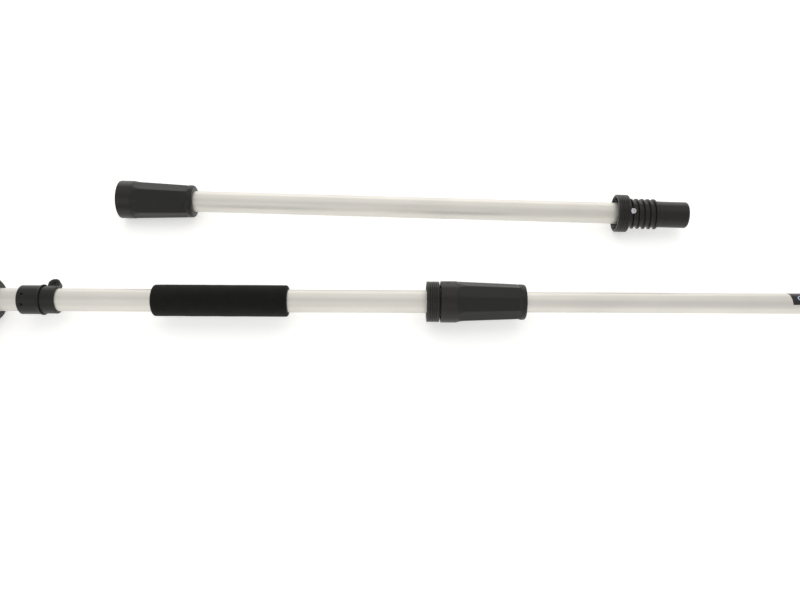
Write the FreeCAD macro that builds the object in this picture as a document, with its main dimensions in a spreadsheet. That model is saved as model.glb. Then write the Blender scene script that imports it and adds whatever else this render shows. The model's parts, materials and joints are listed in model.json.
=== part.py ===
import FreeCAD, Part
import math
import os
import re

import Sketcher

# Telescoping pole saw, in millimetres, lying on its left side.
# +X runs along the pole towards the saw head, +Y is the tool's top and +Z its right-hand side.
# The origin is on the pole's axis, at the middle of the bare tube behind the coupling.

doc = FreeCAD.newDocument("PoleSaw")
sheet = doc.addObject("Spreadsheet::Sheet", "Sizes")

SIZES = {
    # clearances
    "slide_gap": 0.3,
    "seat_gap": 0.1,
    "pin_gap": 0.05,
    # surface that the saw lies on, below the pole's axis
    "rest_depth": 30,
    # the two tubes of the pole
    "front_tube_diameter": 25,
    "front_tube_wall": 1.5,
    "front_tube_length": 810,
    "rear_tube_wall": 1.2,
    "tube_overlap": 145,
    # stations along the pole
    "handle_face": -438,
    "handle_insert": 60,
    "collar_start": -408.6,
    "grip_start": -248,
    "grip_length": 164,
    "coupling_start": 84,
    # harness clamp
    "collar_wall": 3.7,
    "collar_length": 27.3,
    "collar_rim": 1,
    "collar_turn": 33,
    "grub_screw_radius": 2.5,
    "grub_screw_station": 6.6,
    "grub_screw_spread": 42,
    "eye_ring_wall": 2.9,
    "eye_ring_length": 17.3,
    "eye_width": 14.3,
    "eye_reach": 28.5,
    "eye_depth": 8,
    "eye_hole": 3,
    # foam grip
    "foam_wall": 5.3,
    "foam_rounding": 6,
    # threaded plug
    "plug_flange_width": 15.6,
    "plug_flange_rise": 10.8,
    "plug_cup_depth": 10,
    "plug_cup_wall": 3,
    "plug_groove": 0.6,
    "plug_length": 79,
    "plug_socket": 45,
    "plug_roll": 29,
    "nose_rise": 3.2,
    "nose_wall": 1.8,
    "thread_pitch": 7.5,
    "thread_turns": 4.7,
    "thread_rise": 2.8,
    "thread_root_rise": 0.2,
    "thread_start": 2,
    "thread_gap": 0.4,
    "plug_screw_radius": 4,
    "plug_screw_station": 5,
    # union nut
    "nut_gap": 1.5,
    "nut_length": 103.5,
    "nut_band": 19,
    "nut_wall": 4.9,
    "nut_taper": 3.8,
    "nut_rounding": 3,
    "collet_depth": 22,
    "collet_head": 6,
    "collet_slit": 2,
    "thrust_ring_width": 4,
    # loose extension tube
    "extension_x": -325.5,
    "extension_y": 169.6,
    "extension_yaw": 1.75,
    "extension_length": 759,
    "extension_nut_length": 100,
    "core_spigot": 28,
    "core_flange": 6,
    # rear handle
    "handle_length": 310,
    "handle_front": 85,
    "handle_taper": 20,
    "handle_grip": 120,
    "handle_flare": 25,
    "handle_wall": 2.5,
    "handle_rise": 11,
    "handle_grip_rise": 5.5,
    "guard_drop": 74,
    "guard_bar": 13,
    "guard_half_width": 11,
    "sleeve_wall": 1.6,
    "sleeve_angle": 230,
    "inlet_radius": 17,
    "inlet_depth": 28,
    "inlet_wall": 1.6,
    "inlet_pin_radius": 2.4,
    "inlet_pin_spread": 9.5,
    "trigger_station": 116,
    "trigger_drop": 11,
    "trigger_reach": 62,
    "trigger_half_width": 6,
    "trigger_pin_radius": 2,
    "lock_button_radius": 6,
    "lock_button_station": 74,
    "wire_radius": 1.3,
    "lead_radius": 9.5,
    "screw_radius": 2,
    "screw_head_radius": 3.6,
    "screw_head_height": 3,
    "screw_boss_radius": 4.4,
    # saw head, from the front end of the front tube
    "motor_radius": 29.5,
    "housing_wall": 3,
    "neck_length": 50,
    "neck_wall": 6,
    "motor_start": 40,
    "motor_length": 55,
    "stator_wall": 10,
    "rotor_gap": 0.7,
    "motor_shaft_radius": 4,
    "motor_bearing_radius": 11,
    "motor_bearing_width": 7,
    "commutator_radius": 9,
    "fan_radius": 22,
    "gear_module": 1.5,
    "pinion_teeth": 12,
    "gear_teeth": 36,
    "gear_face": 9,
    "pinion_start": 136,
    "case_start": 118,
    "case_length": 95,
    "case_half_width": 34,
    "case_top": 28,
    "sprocket_shaft_radius": 6,
    "shaft_bearing_radius": 13,
    "shaft_bearing_width": 7,
    "sprocket_radius": 18.5,
    "bar_length": 290,
    "bar_half_width": 21,
    "bar_nose": 12,
    "bar_thickness": 4,
    "bar_middle": 36,
    "bar_setback": 21,
    "chain_height": 6,
    "chain_width": 6,
    "stud_radius": 4,
    "stud_station": 34,
    "tension_screw_radius": 2.5,
    "tension_offset": 15.5,
    "cover_height": 20,
    "cover_wall": 2.5,
    "tank_length": 80,
    "tank_depth": 32,
    "tank_height": 48,
    "tank_wall": 2,
    "cap_radius": 14,
    "cap_height": 12,
    "spike_length": 12,
}

# Sizes and places that follow from the sheet's own cells.
FOLLOWING = {
    "front_radius": "front_tube_diameter / 2",
    "front_bore": "front_radius - front_tube_wall",
    "rear_bore": "front_radius + slide_gap",
    "rear_radius": "rear_bore + rear_tube_wall",
    "rear_seat": "rear_radius + seat_gap",
    "nose_radius": "rear_radius + nose_rise",
    "nose_bore": "nose_radius - nose_wall",
    "thread_crest": "nose_radius + thread_rise",
    "flange_radius": "rear_radius + plug_flange_rise",
    "flange_face": "coupling_start + plug_flange_width",
    "nut_start": "flange_face + nut_gap",
    "thread_end": "thread_start + thread_pitch * (thread_turns + 0.5) + 1.5",
    "nut_bore": "thread_crest + thread_gap",
    "nut_radius": "nut_bore + nut_wall",
    "nose_end": "flange_face + plug_length",
    "rear_tube_end": "flange_face + plug_socket",
    "rear_tube_start": "handle_face - handle_insert",
    "front_tube_start": "coupling_start + 1 - tube_overlap",
    "head_start": "front_tube_start + front_tube_length",
    "core_start": "plug_length - nut_gap + 1 - core_spigot",
    "extension_plug_start": "extension_length - plug_length",
    "handle_radius": "rear_radius + handle_rise",
    "handle_bore": "handle_radius - handle_wall",
    "handle_grip_radius": "rear_radius + handle_grip_rise",
    "handle_grip_start": "handle_front + handle_taper",
    "handle_grip_end": "handle_grip_start + handle_grip",
    "handle_flare_end": "handle_grip_end + handle_flare",
    "handle_screw_seat": "guard_half_width - screw_head_height",
    "trigger_pin_length": "handle_grip_radius * 1.3",
    "motor_bore": "motor_radius - housing_wall",
    "rotor_radius": "motor_bore - stator_wall - rotor_gap",
    "motor_end": "motor_start + motor_length",
    "pinion_radius": "gear_module * pinion_teeth / 2",
    "gear_radius": "gear_module * gear_teeth / 2",
    "axle_x": "head_start + pinion_start + gear_radius",
    "case_end": "case_start + case_length",
    "case_wall_end": "case_start + motor_bearing_width + 2",
    "shaft_bearing_top": "case_top - 2.5",
    "shaft_bearing_low": "housing_wall + 2 - rest_depth",
    "bar_low": "bar_middle - bar_thickness / 2",
    "bar_high": "bar_middle + bar_thickness / 2",
    "chain_inner": "bar_half_width + slide_gap",
    "cover_top": "case_top + cover_height",
}


def any_of(names):
    """Match any of the names, as whole words."""
    return re.compile(r"\b(" + "|".join(names) + r")\b")


CELL_NAMES = any_of(SIZES)
FOLLOWING_NAMES = any_of(FOLLOWING)


def spelled_out(text):
    """Return an expression written with the sheet's own cells only."""
    while FOLLOWING_NAMES.search(text):
        text = FOLLOWING_NAMES.sub(lambda found: f"({FOLLOWING[found.group(1)]})", text)
    return CELL_NAMES.sub(r"Sizes.\1", text)


def number(text):
    """Return an expression's present value."""
    return float(sheet.evalExpression(spelled_out(text)))


def bind(thing, name, text):
    """Tie a property to the sheet."""
    thing.setExpression(name, spelled_out(text))


def fill_sheet():
    for row, (name, value) in enumerate(SIZES.items(), 1):
        sheet.set(f"A{row}", str(value))
        sheet.setAlias(f"A{row}", name)
    doc.recompute()


fill_sheet()

# ---- tools that the sub-parts share ----

AXES = {"x": "1; 0; 0", "y": "0; 1; 0", "z": "0; 0; 1"}
UPWARD = ("y", "-90")
TOPWARD = ("z", "90")


def rotation(axis, angle):
    return f"create(<<rotation>>; create(<<vector>>; {AXES[axis]}); {angle})"


def place(thing, x="0", y="0", z="0", turns=()):
    """Put a sub-part at its station and turn its own X axis, the last turn first."""
    spot = f"create(<<vector>>; {x}; {y}; {z})"
    facing = " * ".join(rotation(*turn) for turn in turns) or rotation("x", "0")
    bind(thing, "Placement", f"create(<<placement>>; {spot}; {facing})")
    return thing


def new_body(label, **spot):
    body = doc.addObject("PartDesign::Body", label)
    body.Label = label
    return place(body, **spot)


def origin_item(body, role):
    return next(item for item in body.Origin.OriginFeatures if item.Role == role)


def new_sketch(body, name, plane, height):
    drawing = body.newObject("Sketcher::SketchObject", name)
    drawing.AttachmentSupport = [(origin_item(body, plane), "")]
    drawing.MapMode = "FlatFace"
    bind(drawing, "AttachmentOffset.Base.z", height)
    return drawing


def hold_point(drawing, geometry, point, x, y):
    """Hold one point of a sketch at a place given by two expressions."""
    for kind, text in (("DistanceX", x), ("DistanceY", y)):
        held = Sketcher.Constraint(kind, -1, 1, geometry, point, number(text))
        index = drawing.addConstraint(held)
        bind(drawing, f"Constraints[{index}]", text)


def outline(body, name, corners, plane="XY_Plane", height="0"):
    """Draw a closed outline whose corners are pairs of expressions."""
    drawing = new_sketch(body, name, plane, height)
    points = [FreeCAD.Vector(number(x), number(y), 0) for x, y in corners]
    for start, end in zip(points, points[1:] + points[:1]):
        drawing.addGeometry(Part.LineSegment(start, end), False)
    for index, (x, y) in enumerate(corners):
        following = (index + 1) % len(corners)
        drawing.addConstraint(Sketcher.Constraint("Coincident", index, 2, following, 1))
        hold_point(drawing, index, 1, x, y)
    return drawing


def circles(body, name, centres, radius, plane="XY_Plane", height="0"):
    """Draw one circle at each centre."""
    drawing = new_sketch(body, name, plane, height)
    for index, (x, y) in enumerate(centres):
        middle = FreeCAD.Vector(number(x), number(y), 0)
        drawing.addGeometry(Part.Circle(middle, FreeCAD.Vector(0, 0, 1), number(radius)), False)
        held = Sketcher.Constraint("Radius", index, number(radius))
        bind(drawing, f"Constraints[{drawing.addConstraint(held)}]", radius)
        hold_point(drawing, index, 3, x, y)
    return drawing


def feature(body, kind, name, drawing, **settings):
    """Add a PartDesign feature on a sketch. Settings given as text are expressions."""
    made = body.newObject(f"PartDesign::{kind}", name)
    made.Profile = drawing
    for setting, value in settings.items():
        if isinstance(value, str):
            bind(made, setting, value)
        else:
            setattr(made, setting, value)
    doc.recompute()
    return made


def cut(body, kind, name, drawing, **settings):
    """Add a feature that removes material, and make sure that it does."""
    before = body.Shape.Volume
    made = feature(body, kind, name, drawing, **settings)
    if made.Shape.Volume > before - 1e-3:
        raise ValueError(f"{name} cuts nothing")
    return made


def turn(body, name, corners, **settings):
    """Revolve an outline of (axial, radial) corners about the body's X axis."""
    drawing = outline(body, f"{name}_profile", corners)
    settings.setdefault("Angle", "360")
    return feature(body, "Revolution", name, drawing, ReferenceAxis=(drawing, ["H_Axis"]),
                   **settings)


def groove(body, name, corners):
    drawing = outline(body, f"{name}_profile", corners)
    return cut(body, "Groove", name, drawing, ReferenceAxis=(drawing, ["H_Axis"]), Angle="360")


def rectangle(low, high):
    """List the corners of a rectangle from two opposite ones."""
    return [low, (high[0], low[1]), high, (low[0], high[1])]


def pad(body, name, corners, length, plane="XY_Plane", height="0", **settings):
    drawing = outline(body, f"{name}_outline", corners, plane, height)
    return feature(body, "Pad", name, drawing, Length=length, **settings)


def pocket(body, name, corners, depth, plane="XY_Plane", height="0", **settings):
    drawing = outline(body, f"{name}_outline", corners, plane, height)
    return cut(body, "Pocket", name, drawing, Length=depth, **settings)


def studs(body, name, centres, radius, length, plane="XY_Plane", height="0", **settings):
    drawing = circles(body, f"{name}_circles", centres, radius, plane, height)
    return feature(body, "Pad", name, drawing, Length=length, **settings)


def bores(body, name, centres, radius, depth, plane="XY_Plane", height="0", **settings):
    drawing = circles(body, f"{name}_circles", centres, radius, plane, height)
    return cut(body, "Pocket", name, drawing, Length=depth, **settings)


def helix(body, name, drawing, height):
    return feature(body, "AdditiveHelix", name, drawing, ReferenceAxis=(drawing, ["H_Axis"]),
                   Mode=0, Pitch="thread_pitch", Height=height)


def repeat_round(body, name, original, count, angle="360"):
    """Repeat a feature about the body's X axis."""
    pattern = body.newObject("PartDesign::PolarPattern", name)
    pattern.Originals = [original]
    pattern.Axis = (origin_item(body, "X_Axis"), [""])
    pattern.Occurrences = count
    bind(pattern, "Angle", angle)
    body.Tip = pattern
    doc.recompute()
    return pattern


def dress(body, kind, name, size, chosen):
    """Round or chamfer the edges of the body's last feature that a test chooses."""
    edges = [f"Edge{i}" for i, edge in enumerate(body.Tip.Shape.Edges, 1) if chosen(edge)]
    if not edges:
        raise ValueError(f"{name} finds no edge")
    base = body.Tip
    made = body.newObject(f"PartDesign::{kind}", name)
    made.Base = (base, edges)
    bind(made, "Radius" if kind == "Fillet" else "Size", size)
    doc.recompute()
    return made


def rim_at(station, radius):
    """Test for a round edge about the body's X axis."""
    x, r = number(station), number(radius)

    def chosen(edge):
        if not isinstance(edge.Curve, Part.Circle):
            return False
        centre = edge.Curve.Center
        on_axis = math.hypot(centre.y, centre.z) < 1e-3
        return on_axis and abs(centre.x - x) < 1e-3 and abs(edge.Curve.Radius - r) < 1e-3

    return chosen


def upright(edge):
    """Test for an edge along Z."""
    return edge.BoundBox.XLength < 1e-3 and edge.BoundBox.YLength < 1e-3


def upright_at(station):
    x = number(station)
    return lambda edge: upright(edge) and abs(edge.BoundBox.XMin - x) < 1e-3


def level_at(height):
    """Test for an edge that lies in a plane at right angles to Z."""
    z = number(height)
    return lambda edge: edge.BoundBox.ZLength < 1e-3 and abs(edge.BoundBox.ZMin - z) < 1e-3


def hexagon(corner_radius):
    """List a hexagon's corners."""
    return star([corner_radius] * 6)


def star(radii):
    """List corners at equal angles, one at each radius."""
    steps = [2 * math.pi * i / len(radii) for i in range(len(radii))]
    return [(f"({radius}) * {math.cos(angle):.6f}", f"({radius}) * {math.sin(angle):.6f}")
            for radius, angle in zip(radii, steps)]


def sleeve(label, length, outer, inner, **spot):
    """Make a plain round sleeve."""
    body = new_body(label, **spot)
    turn(body, f"{label}_turn", [("0", inner), (length, inner), (length, outer), ("0", outer)])
    return body


def group(label, pieces):
    """Keep identical pieces together as separate solids of one sub-part."""
    made = doc.addObject("Part::Compound", label)
    made.Label = label
    made.Links = pieces
    return made


# ---- pole ----

def rear_tube():
    length = "rear_tube_end - rear_tube_start"
    return sleeve("rear_tube", length, "rear_radius", "rear_bore", x="rear_tube_start")


def foam_grip():
    outer = "rear_radius + foam_wall"
    body = sleeve("foam_grip", "grip_length", outer, "rear_seat", x="grip_start")
    ends = rim_at("0", outer), rim_at("grip_length", outer)
    dress(body, "Fillet", "foam_ends", "min(foam_rounding; foam_wall * 0.9)",
          lambda edge: any(end(edge) for end in ends))
    return body


def threaded_plug(label, tube_stop, **spot):
    """Make the plug that ends a tube. Its flange's front face is at its own origin."""
    body = new_body(label, **spot)
    back = "-plug_flange_width"
    cup = "plug_cup_depth - plug_flange_width"
    corners = [
        (cup, "rear_seat"), ("plug_socket", "rear_seat"), ("plug_socket", tube_stop),
        ("plug_socket + 2", tube_stop), ("plug_socket + 2", "nose_bore"),
        ("plug_length", "nose_bore"), ("plug_length", "nose_radius - 1"),
        ("plug_length - 1.5", "nose_radius"), ("thread_end", "nose_radius"),
        ("thread_end", "nose_radius + thread_root_rise"), ("0", "nose_radius + thread_root_rise"),
        ("0", "flange_radius - 0.8"), ("-0.8", "flange_radius")]
    for line in range(4):
        start = f"-plug_flange_width * {0.2 + 0.16 * line:.2f}"
        corners += [(start, "flange_radius"), (f"{start} - 0.5", "flange_radius - plug_groove"),
                    (f"{start} - 1", "flange_radius")]
    corners += [(f"{back} + 0.8", "flange_radius"), (back, "flange_radius - 0.8"),
                (back, "flange_radius - plug_cup_wall"), (cup, "rear_radius + 4")]
    turn(body, f"{label}_turn", corners)
    ridge = outline(body, f"{label}_ridge", [
        ("thread_start", "nose_radius - 0.5"),
        ("thread_start + thread_pitch * 0.5", "nose_radius - 0.5"),
        ("thread_start + thread_pitch * 0.36", "thread_crest"),
        ("thread_start + thread_pitch * 0.14", "thread_crest")])
    helix(body, f"{label}_thread", ridge, "thread_pitch * thread_turns")
    bores(body, f"{label}_screw_hole", [("plug_screw_station", "0")],
          "plug_screw_radius + seat_gap", "thread_crest + 5", Reversed=True)
    return body


def plug_screw(label, **spot):
    """Make the hex-socket screw that locks a plug on its tube, standing along its own X axis."""
    body = new_body(label, **spot)
    low, top = "rear_seat + seat_gap", "nose_radius + seat_gap"
    turn(body, f"{label}_turn", [
        (low, "0"), (top, "0"), (top, "plug_screw_radius - 0.6"),
        (f"{top} - 0.6", "plug_screw_radius"), (low, "plug_screw_radius")])
    pocket(body, f"{label}_socket", hexagon("2.3"), "2", "YZ_Plane", top)
    return body


def union_nut(label, length, hole, shoulder, **spot):
    """Make the union nut, with its mouth at its own origin and a thread that fits the plug's."""
    body = new_body(label, **spot)
    small = "nut_radius - nut_taper"
    turn(body, f"{label}_turn", [
        ("1.2", "nut_bore"), (shoulder, "nut_bore"), (shoulder, hole), (length, hole),
        (length, small), ("nut_band + 1", "nut_radius - 0.4"), ("nut_band", "nut_radius"),
        ("1", "nut_radius"), ("0", "nut_radius - 1"), ("0", "nut_bore + 1.2")])
    dress(body, "Fillet", f"{label}_end", "min(nut_rounding; nut_wall * 0.8)",
          rim_at(length, small))
    middle = "thread_start + thread_pitch * 0.75 - nut_gap"
    base, tip = "thread_pitch * 0.37 - thread_gap", "thread_pitch * 0.28 - thread_gap"
    ridge = outline(body, f"{label}_ridge", [
        (f"{middle} - ({base})", "nut_bore + 0.5"), (f"{middle} + {base}", "nut_bore + 0.5"),
        (f"{middle} + {tip}", "nose_radius + thread_gap * 1.2"),
        (f"{middle} - ({tip})", "nose_radius + thread_gap * 1.2")])
    helix(body, f"{label}_thread", ridge, "thread_pitch * (thread_turns - 1)")
    return body


def collet():
    """Make the slit cone that grips the front tube, from the plug's nose outwards."""
    inner, outer = "rear_bore", "nose_bore - seat_gap"
    body = new_body("collet", x="nose_end")
    turn(body, "collet_turn", [
        ("-collet_depth", inner), ("collet_head", inner), ("collet_head", "nose_bore - 2"),
        ("seat_gap * 3", "nose_radius - 1.5"), ("seat_gap", "nose_radius - 1.5"),
        ("seat_gap", outer), ("-collet_depth", outer)])
    slit = pocket(body, "collet_slit_first", rectangle(
        ("5 - collet_depth", "-collet_slit / 2"), ("collet_head + 1", "collet_slit / 2")),
        "nose_radius", Reversed=True)
    repeat_round(body, "collet_slits", slit, 6)
    return body


def thrust_ring():
    return sleeve("thrust_ring", "thrust_ring_width", "nose_radius", "rear_bore",
                  x="nose_end + collet_head + slide_gap")


def front_tube():
    return sleeve("front_tube", "front_tube_length", "front_radius", "front_bore",
                  x="front_tube_start")


def tube_end_bush():
    body = new_body("tube_end_bush", x="front_tube_start")
    turn(body, "bush", [
        ("-6", "lead_radius"), ("14", "lead_radius"), ("14", "front_bore - seat_gap"),
        ("0", "front_bore - seat_gap"), ("0", "front_radius"), ("-6", "front_radius")])
    return body


def coiled_lead():
    """Make the inner lead's coil as one plain round solid of the coil's outer size."""
    body = new_body("coiled_lead", x="rear_tube_start + 5")
    studs(body, "coil", [("0", "0")], "lead_radius", "front_tube_start - 6 - rear_tube_start - 5",
          "YZ_Plane")
    return body


# ---- harness clamp ----

def harness_collar():
    outer, inner = "rear_radius + collar_wall", "rear_radius + slide_gap"
    body = new_body("harness_collar", x="collar_start",
                    turns=[("x", "collar_turn - grub_screw_spread / 2")])
    turn(body, "collar", [
        ("0", inner), ("collar_length", inner), ("collar_length", f"{outer} + collar_rim"),
        ("collar_length - 1.5", f"{outer} + collar_rim"), ("collar_length - 3", outer),
        ("1", outer), ("0", f"{outer} - 1")])
    hole = bores(body, "grub_hole", [("grub_screw_station", "0")], "grub_screw_radius + seat_gap",
                 f"{outer} + 1", Reversed=True)
    repeat_round(body, "grub_holes", hole, 2, "grub_screw_spread")
    return body


def harness_screws():
    screws = []
    low, top = "rear_radius + slide_gap", "rear_radius + collar_wall - 0.4"
    for side, half in enumerate(("-grub_screw_spread / 2", "+ grub_screw_spread / 2")):
        body = new_body(f"grub_screw_{side}", x="collar_start + grub_screw_station",
                        turns=[("x", f"collar_turn {half}"), UPWARD])
        turn(body, f"grub_{side}", rectangle((low, "0"), (top, "grub_screw_radius")))
        pocket(body, f"grub_socket_{side}", hexagon("1.6"), "2.4", "YZ_Plane", top)
        screws.append(body)
    return group("harness_screws", screws)


def harness_eye():
    outer, inner = "rear_radius + eye_ring_wall", "rear_radius + slide_gap"
    body = new_body("harness_eye", x="collar_start + collar_length + seat_gap")
    turn(body, "eye_ring", [
        ("0", inner), ("eye_ring_length", inner), ("eye_ring_length", f"{outer} - 1"),
        ("eye_ring_length - 1", outer), ("0", outer)])
    middle = "eye_width / 2"
    pad(body, "ear", rectangle(("0", "rear_radius + 1"), ("eye_width", "eye_reach")), "eye_depth",
        Midplane=True)
    top = number("eye_reach")
    dress(body, "Fillet", "ear_top", "eye_width * 0.45",
          lambda edge: upright(edge) and abs(edge.BoundBox.YMax - top) < 1e-3)
    bores(body, "eye", [(middle, "eye_reach - eye_width / 2")], "eye_hole", "eye_depth * 2",
          Midplane=True)
    return body


# ---- loose extension tube ----

def on_extension(distance):
    """Give the station of a piece that lies along the extension tube."""
    return {"x": f"extension_x + ({distance}) * cos(extension_yaw)",
            "y": f"extension_y - ({distance}) * sin(extension_yaw)",
            "z": "nut_radius - rest_depth"}


def extension_tube():
    start = "core_start + 10 + seat_gap"
    length = f"extension_plug_start + plug_socket - seat_gap - ({start})"
    return sleeve("extension_tube", length, "rear_radius", "rear_bore", **on_extension(start),
                  turns=[("z", "-extension_yaw")])


def extension_core():
    """Make the insert that the nut is held by and that the next plug's nose fits over."""
    body = new_body("extension_core", **on_extension("core_start"), turns=[("z", "-extension_yaw")])
    outer = "nose_bore - slide_gap"
    core_rim = "(nose_radius + thread_crest) / 2"
    turn(body, "core", [
        ("0", "rear_bore"), ("10", "rear_bore"), ("10", "rear_seat"),
        ("core_spigot + core_flange", "rear_seat"),
        ("core_spigot + core_flange", core_rim), ("core_spigot", core_rim),
        ("core_spigot", outer), ("1.5", outer), ("0", f"{outer} - 1.5")])
    return body


def extension_nut():
    shoulder = "core_start + core_spigot + core_flange + slide_gap"
    return union_nut("extension_nut", "extension_nut_length", "rear_radius + slide_gap * 2",
                     shoulder, **on_extension("0"), turns=[("z", "-extension_yaw")])


def extension_plug():
    return threaded_plug("extension_plug", "rear_bore", **on_extension("extension_plug_start"),
                         turns=[("z", "-extension_yaw"), ("x", "plug_roll")])


def extension_plug_screw():
    station = on_extension("extension_plug_start + plug_screw_station")
    return plug_screw("extension_plug_screw", **station,
                      turns=[("z", "-extension_yaw"), ("x", "plug_roll"), UPWARD])


# ---- rear handle, whose pieces count their X back from its front face ----

def handle_screw_spots():
    """List the shell screws as (x, y) from the handle's front face."""
    side = "handle_radius - 7.2"
    rear = "-(handle_flare_end + 14)"
    return [("-15", side), ("-15", f"-({side})"), (rear, side), (rear, f"-({side})"),
            ("-handle_length / 2", "guard_bar / 2 - guard_drop")]


def handle_shell(label, right):
    """Make one half of the handle, to the right or the left of the plane Z = 0."""
    body = new_body(label, x="handle_face")
    side = {"Reversed": not right}
    inward = {"Reversed": right}
    sign = "" if right else "-"
    rear = "-handle_flare_end"
    pad(body, "guard", [
        ("-20", "5 - handle_radius"), ("-46", "-guard_drop"), (rear, "-guard_drop"),
        (f"{rear} - 25", "-handle_radius"), (f"{rear} - 8", "-handle_radius"),
        (f"{rear} + 9", "guard_bar - guard_drop"), ("-56", "guard_bar - guard_drop"),
        ("-38", "5 - handle_radius")], "guard_half_width", **side)
    dress(body, "Fillet", "guard_edges", "guard_bar * 0.3", level_at(f"{sign}guard_half_width"))
    front, grip = "handle_radius", "handle_grip_radius"
    turn(body, "shell", [
        ("0", "rear_seat"), ("0", f"{front} - 2"), ("-2", front), ("-handle_front", front),
        ("-handle_grip_start", grip), ("-handle_grip_end", grip), (rear, "rest_depth"),
        ("2 - handle_length", "rest_depth"), ("-handle_length", "rest_depth - 2"),
        ("-handle_length", "inlet_radius + seat_gap"),
        ("3 - handle_length", "inlet_radius + seat_gap"),
        ("3 - handle_length", "rest_depth - handle_wall"),
        (f"{rear} - 1", "rest_depth - handle_wall"),
        ("-handle_grip_end - 1", f"{grip} - handle_wall"),
        ("1 - handle_grip_start", f"{grip} - handle_wall"),
        ("1 - handle_front", "handle_bore"), ("-6", "handle_bore"), ("-6", "rear_seat")],
         Angle="180", **side)
    turn(body, "tube_rib", rectangle(("2 - handle_insert", "rear_seat"),
                                     ("6 - handle_insert", "handle_bore + 1")), Angle="180", **side)
    spots = handle_screw_spots()
    studs(body, "screw_bosses", spots[:4], "screw_boss_radius", "handle_radius * 0.42", **side)
    pivot = [("-trigger_station", "-trigger_drop")]
    studs(body, "pivot_bosses", pivot, "trigger_pin_radius + 2.5", "handle_grip_radius * 0.4",
          height=f"{sign}(trigger_half_width + slide_gap)", **side)
    bores(body, "pivot_hole", pivot, "trigger_pin_radius + pin_gap",
          "trigger_pin_length / 2 + pin_gap", **inward)
    depth = "guard_half_width * 1.2"
    bores(body, "screw_holes", spots, "screw_radius + seat_gap",
          "handle_radius" if right else depth, **inward)
    if right:
        bores(body, "screw_seats", spots, "screw_head_radius + seat_gap", "handle_radius",
              height="handle_screw_seat", **inward)
        bores(body, "lock_button_hole", [("-lock_button_station", "0")],
              "lock_button_radius + slide_gap", "handle_radius + 1", **inward)
    slot = "-trigger_station - trigger_reach - 3"
    pocket(body, "trigger_slot", rectangle(
        (slot, "-trigger_half_width - slide_gap * 2"),
        ("8 - trigger_station", "trigger_half_width + slide_gap * 2")),
        "handle_grip_radius + 3", "XZ_Plane", Reversed=True)
    return body


def z_screws(label, spots, head, tip, **spot):
    """Make screws along Z at each spot, with the undersides of their heads at one height."""
    body = new_body(label, **spot)
    studs(body, f"{label}_shanks", spots, "screw_radius", f"({head}) - ({tip})", height=tip)
    studs(body, f"{label}_heads", spots, "screw_head_radius", "screw_head_height", height=head)
    bores(body, f"{label}_sockets", spots, "screw_radius * 0.7", "screw_head_height * 0.6",
          height=f"({head}) + screw_head_height")
    return body


def handle_screws():
    return z_screws("handle_screws", handle_screw_spots(), "handle_screw_seat + seat_gap",
                    "-guard_half_width", x="handle_face")


def grip_sleeve():
    body = new_body("grip_sleeve", x="handle_face")
    inner = "handle_grip_radius + seat_gap"
    turn(body, "grip_turn", rectangle(("3 - handle_grip_end", inner),
                                      ("-handle_grip_start - 3", f"{inner} + sleeve_wall")),
         Angle="sleeve_angle", Midplane=True)
    return body


def mains_inlet():
    body = new_body("mains_inlet", x="handle_face - handle_length")
    mouth = "inlet_radius - inlet_wall"
    turn(body, "inlet_cup", [
        ("inlet_depth - 3", "0"), ("inlet_depth", "0"), ("inlet_depth", "inlet_radius"),
        ("0", "inlet_radius"), ("0", mouth), ("inlet_depth - 3", mouth)])
    bores(body, "pin_holes", inlet_pin_spots(), "inlet_pin_radius + seat_gap", "5", "YZ_Plane",
          "inlet_depth - 4", Reversed=True)
    return body


def inlet_pin_spots():
    return [("0", "inlet_pin_spread"), ("0", "-inlet_pin_spread")]


def inlet_pins():
    body = new_body("inlet_pins", x="handle_face - handle_length")
    studs(body, "pins", inlet_pin_spots(), "inlet_pin_radius", "inlet_depth - 2", "YZ_Plane", "7")
    return body


def switch_body():
    body = new_body("switch_body", x="handle_face - trigger_station")
    pad(body, "switch_case", rectangle(("-trigger_reach * 0.55", "1"),
                                       ("-6", "handle_grip_radius - handle_wall - 3")),
        "handle_grip_radius * 0.7", Midplane=True)
    dress(body, "Chamfer", "switch_edges", "1", upright)
    return body


def supply_wires():
    """Make the two pairs of wires, from the inlet to the switch and on to the coiled lead."""
    body = new_body("supply_wires", x="handle_face")
    pair = [("7", "5.5"), ("7", "-5.5")]
    inlet = "inlet_depth - handle_length"
    switch_rear = "-trigger_station - trigger_reach * 0.55"
    studs(body, "rear_pair", pair, "wire_radius", f"{switch_rear} - ({inlet})", "YZ_Plane", inlet)
    studs(body, "front_pair", pair, "wire_radius", "trigger_station + 6 - handle_insert + 5",
          "YZ_Plane", "-trigger_station - 6")
    return body


def trigger():
    """Make the trigger, with its pivot at its own origin."""
    body = new_body("trigger", x="handle_face - trigger_station", y="-trigger_drop")
    back = "-trigger_reach"
    pad(body, "trigger_plate", [
        ("6", "5"), ("6", "-9"), ("-12", "-20"), (f"{back} + 14", "-21"), (back, "-12"),
        (back, "2"), ("-8", "5")], "trigger_half_width * 2", Midplane=True)
    dress(body, "Fillet", "trigger_edges", "trigger_half_width * 0.4",
          lambda edge: level_at("trigger_half_width")(edge) or level_at("-trigger_half_width")(edge))
    bores(body, "trigger_bore", [("0", "0")], "trigger_pin_radius + pin_gap",
          "trigger_half_width * 4", Midplane=True)
    return body


def trigger_pin():
    body = new_body("trigger_pin", x="handle_face - trigger_station", y="-trigger_drop")
    studs(body, "pin", [("0", "0")], "trigger_pin_radius", "trigger_pin_length", Midplane=True)
    return body


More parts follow.
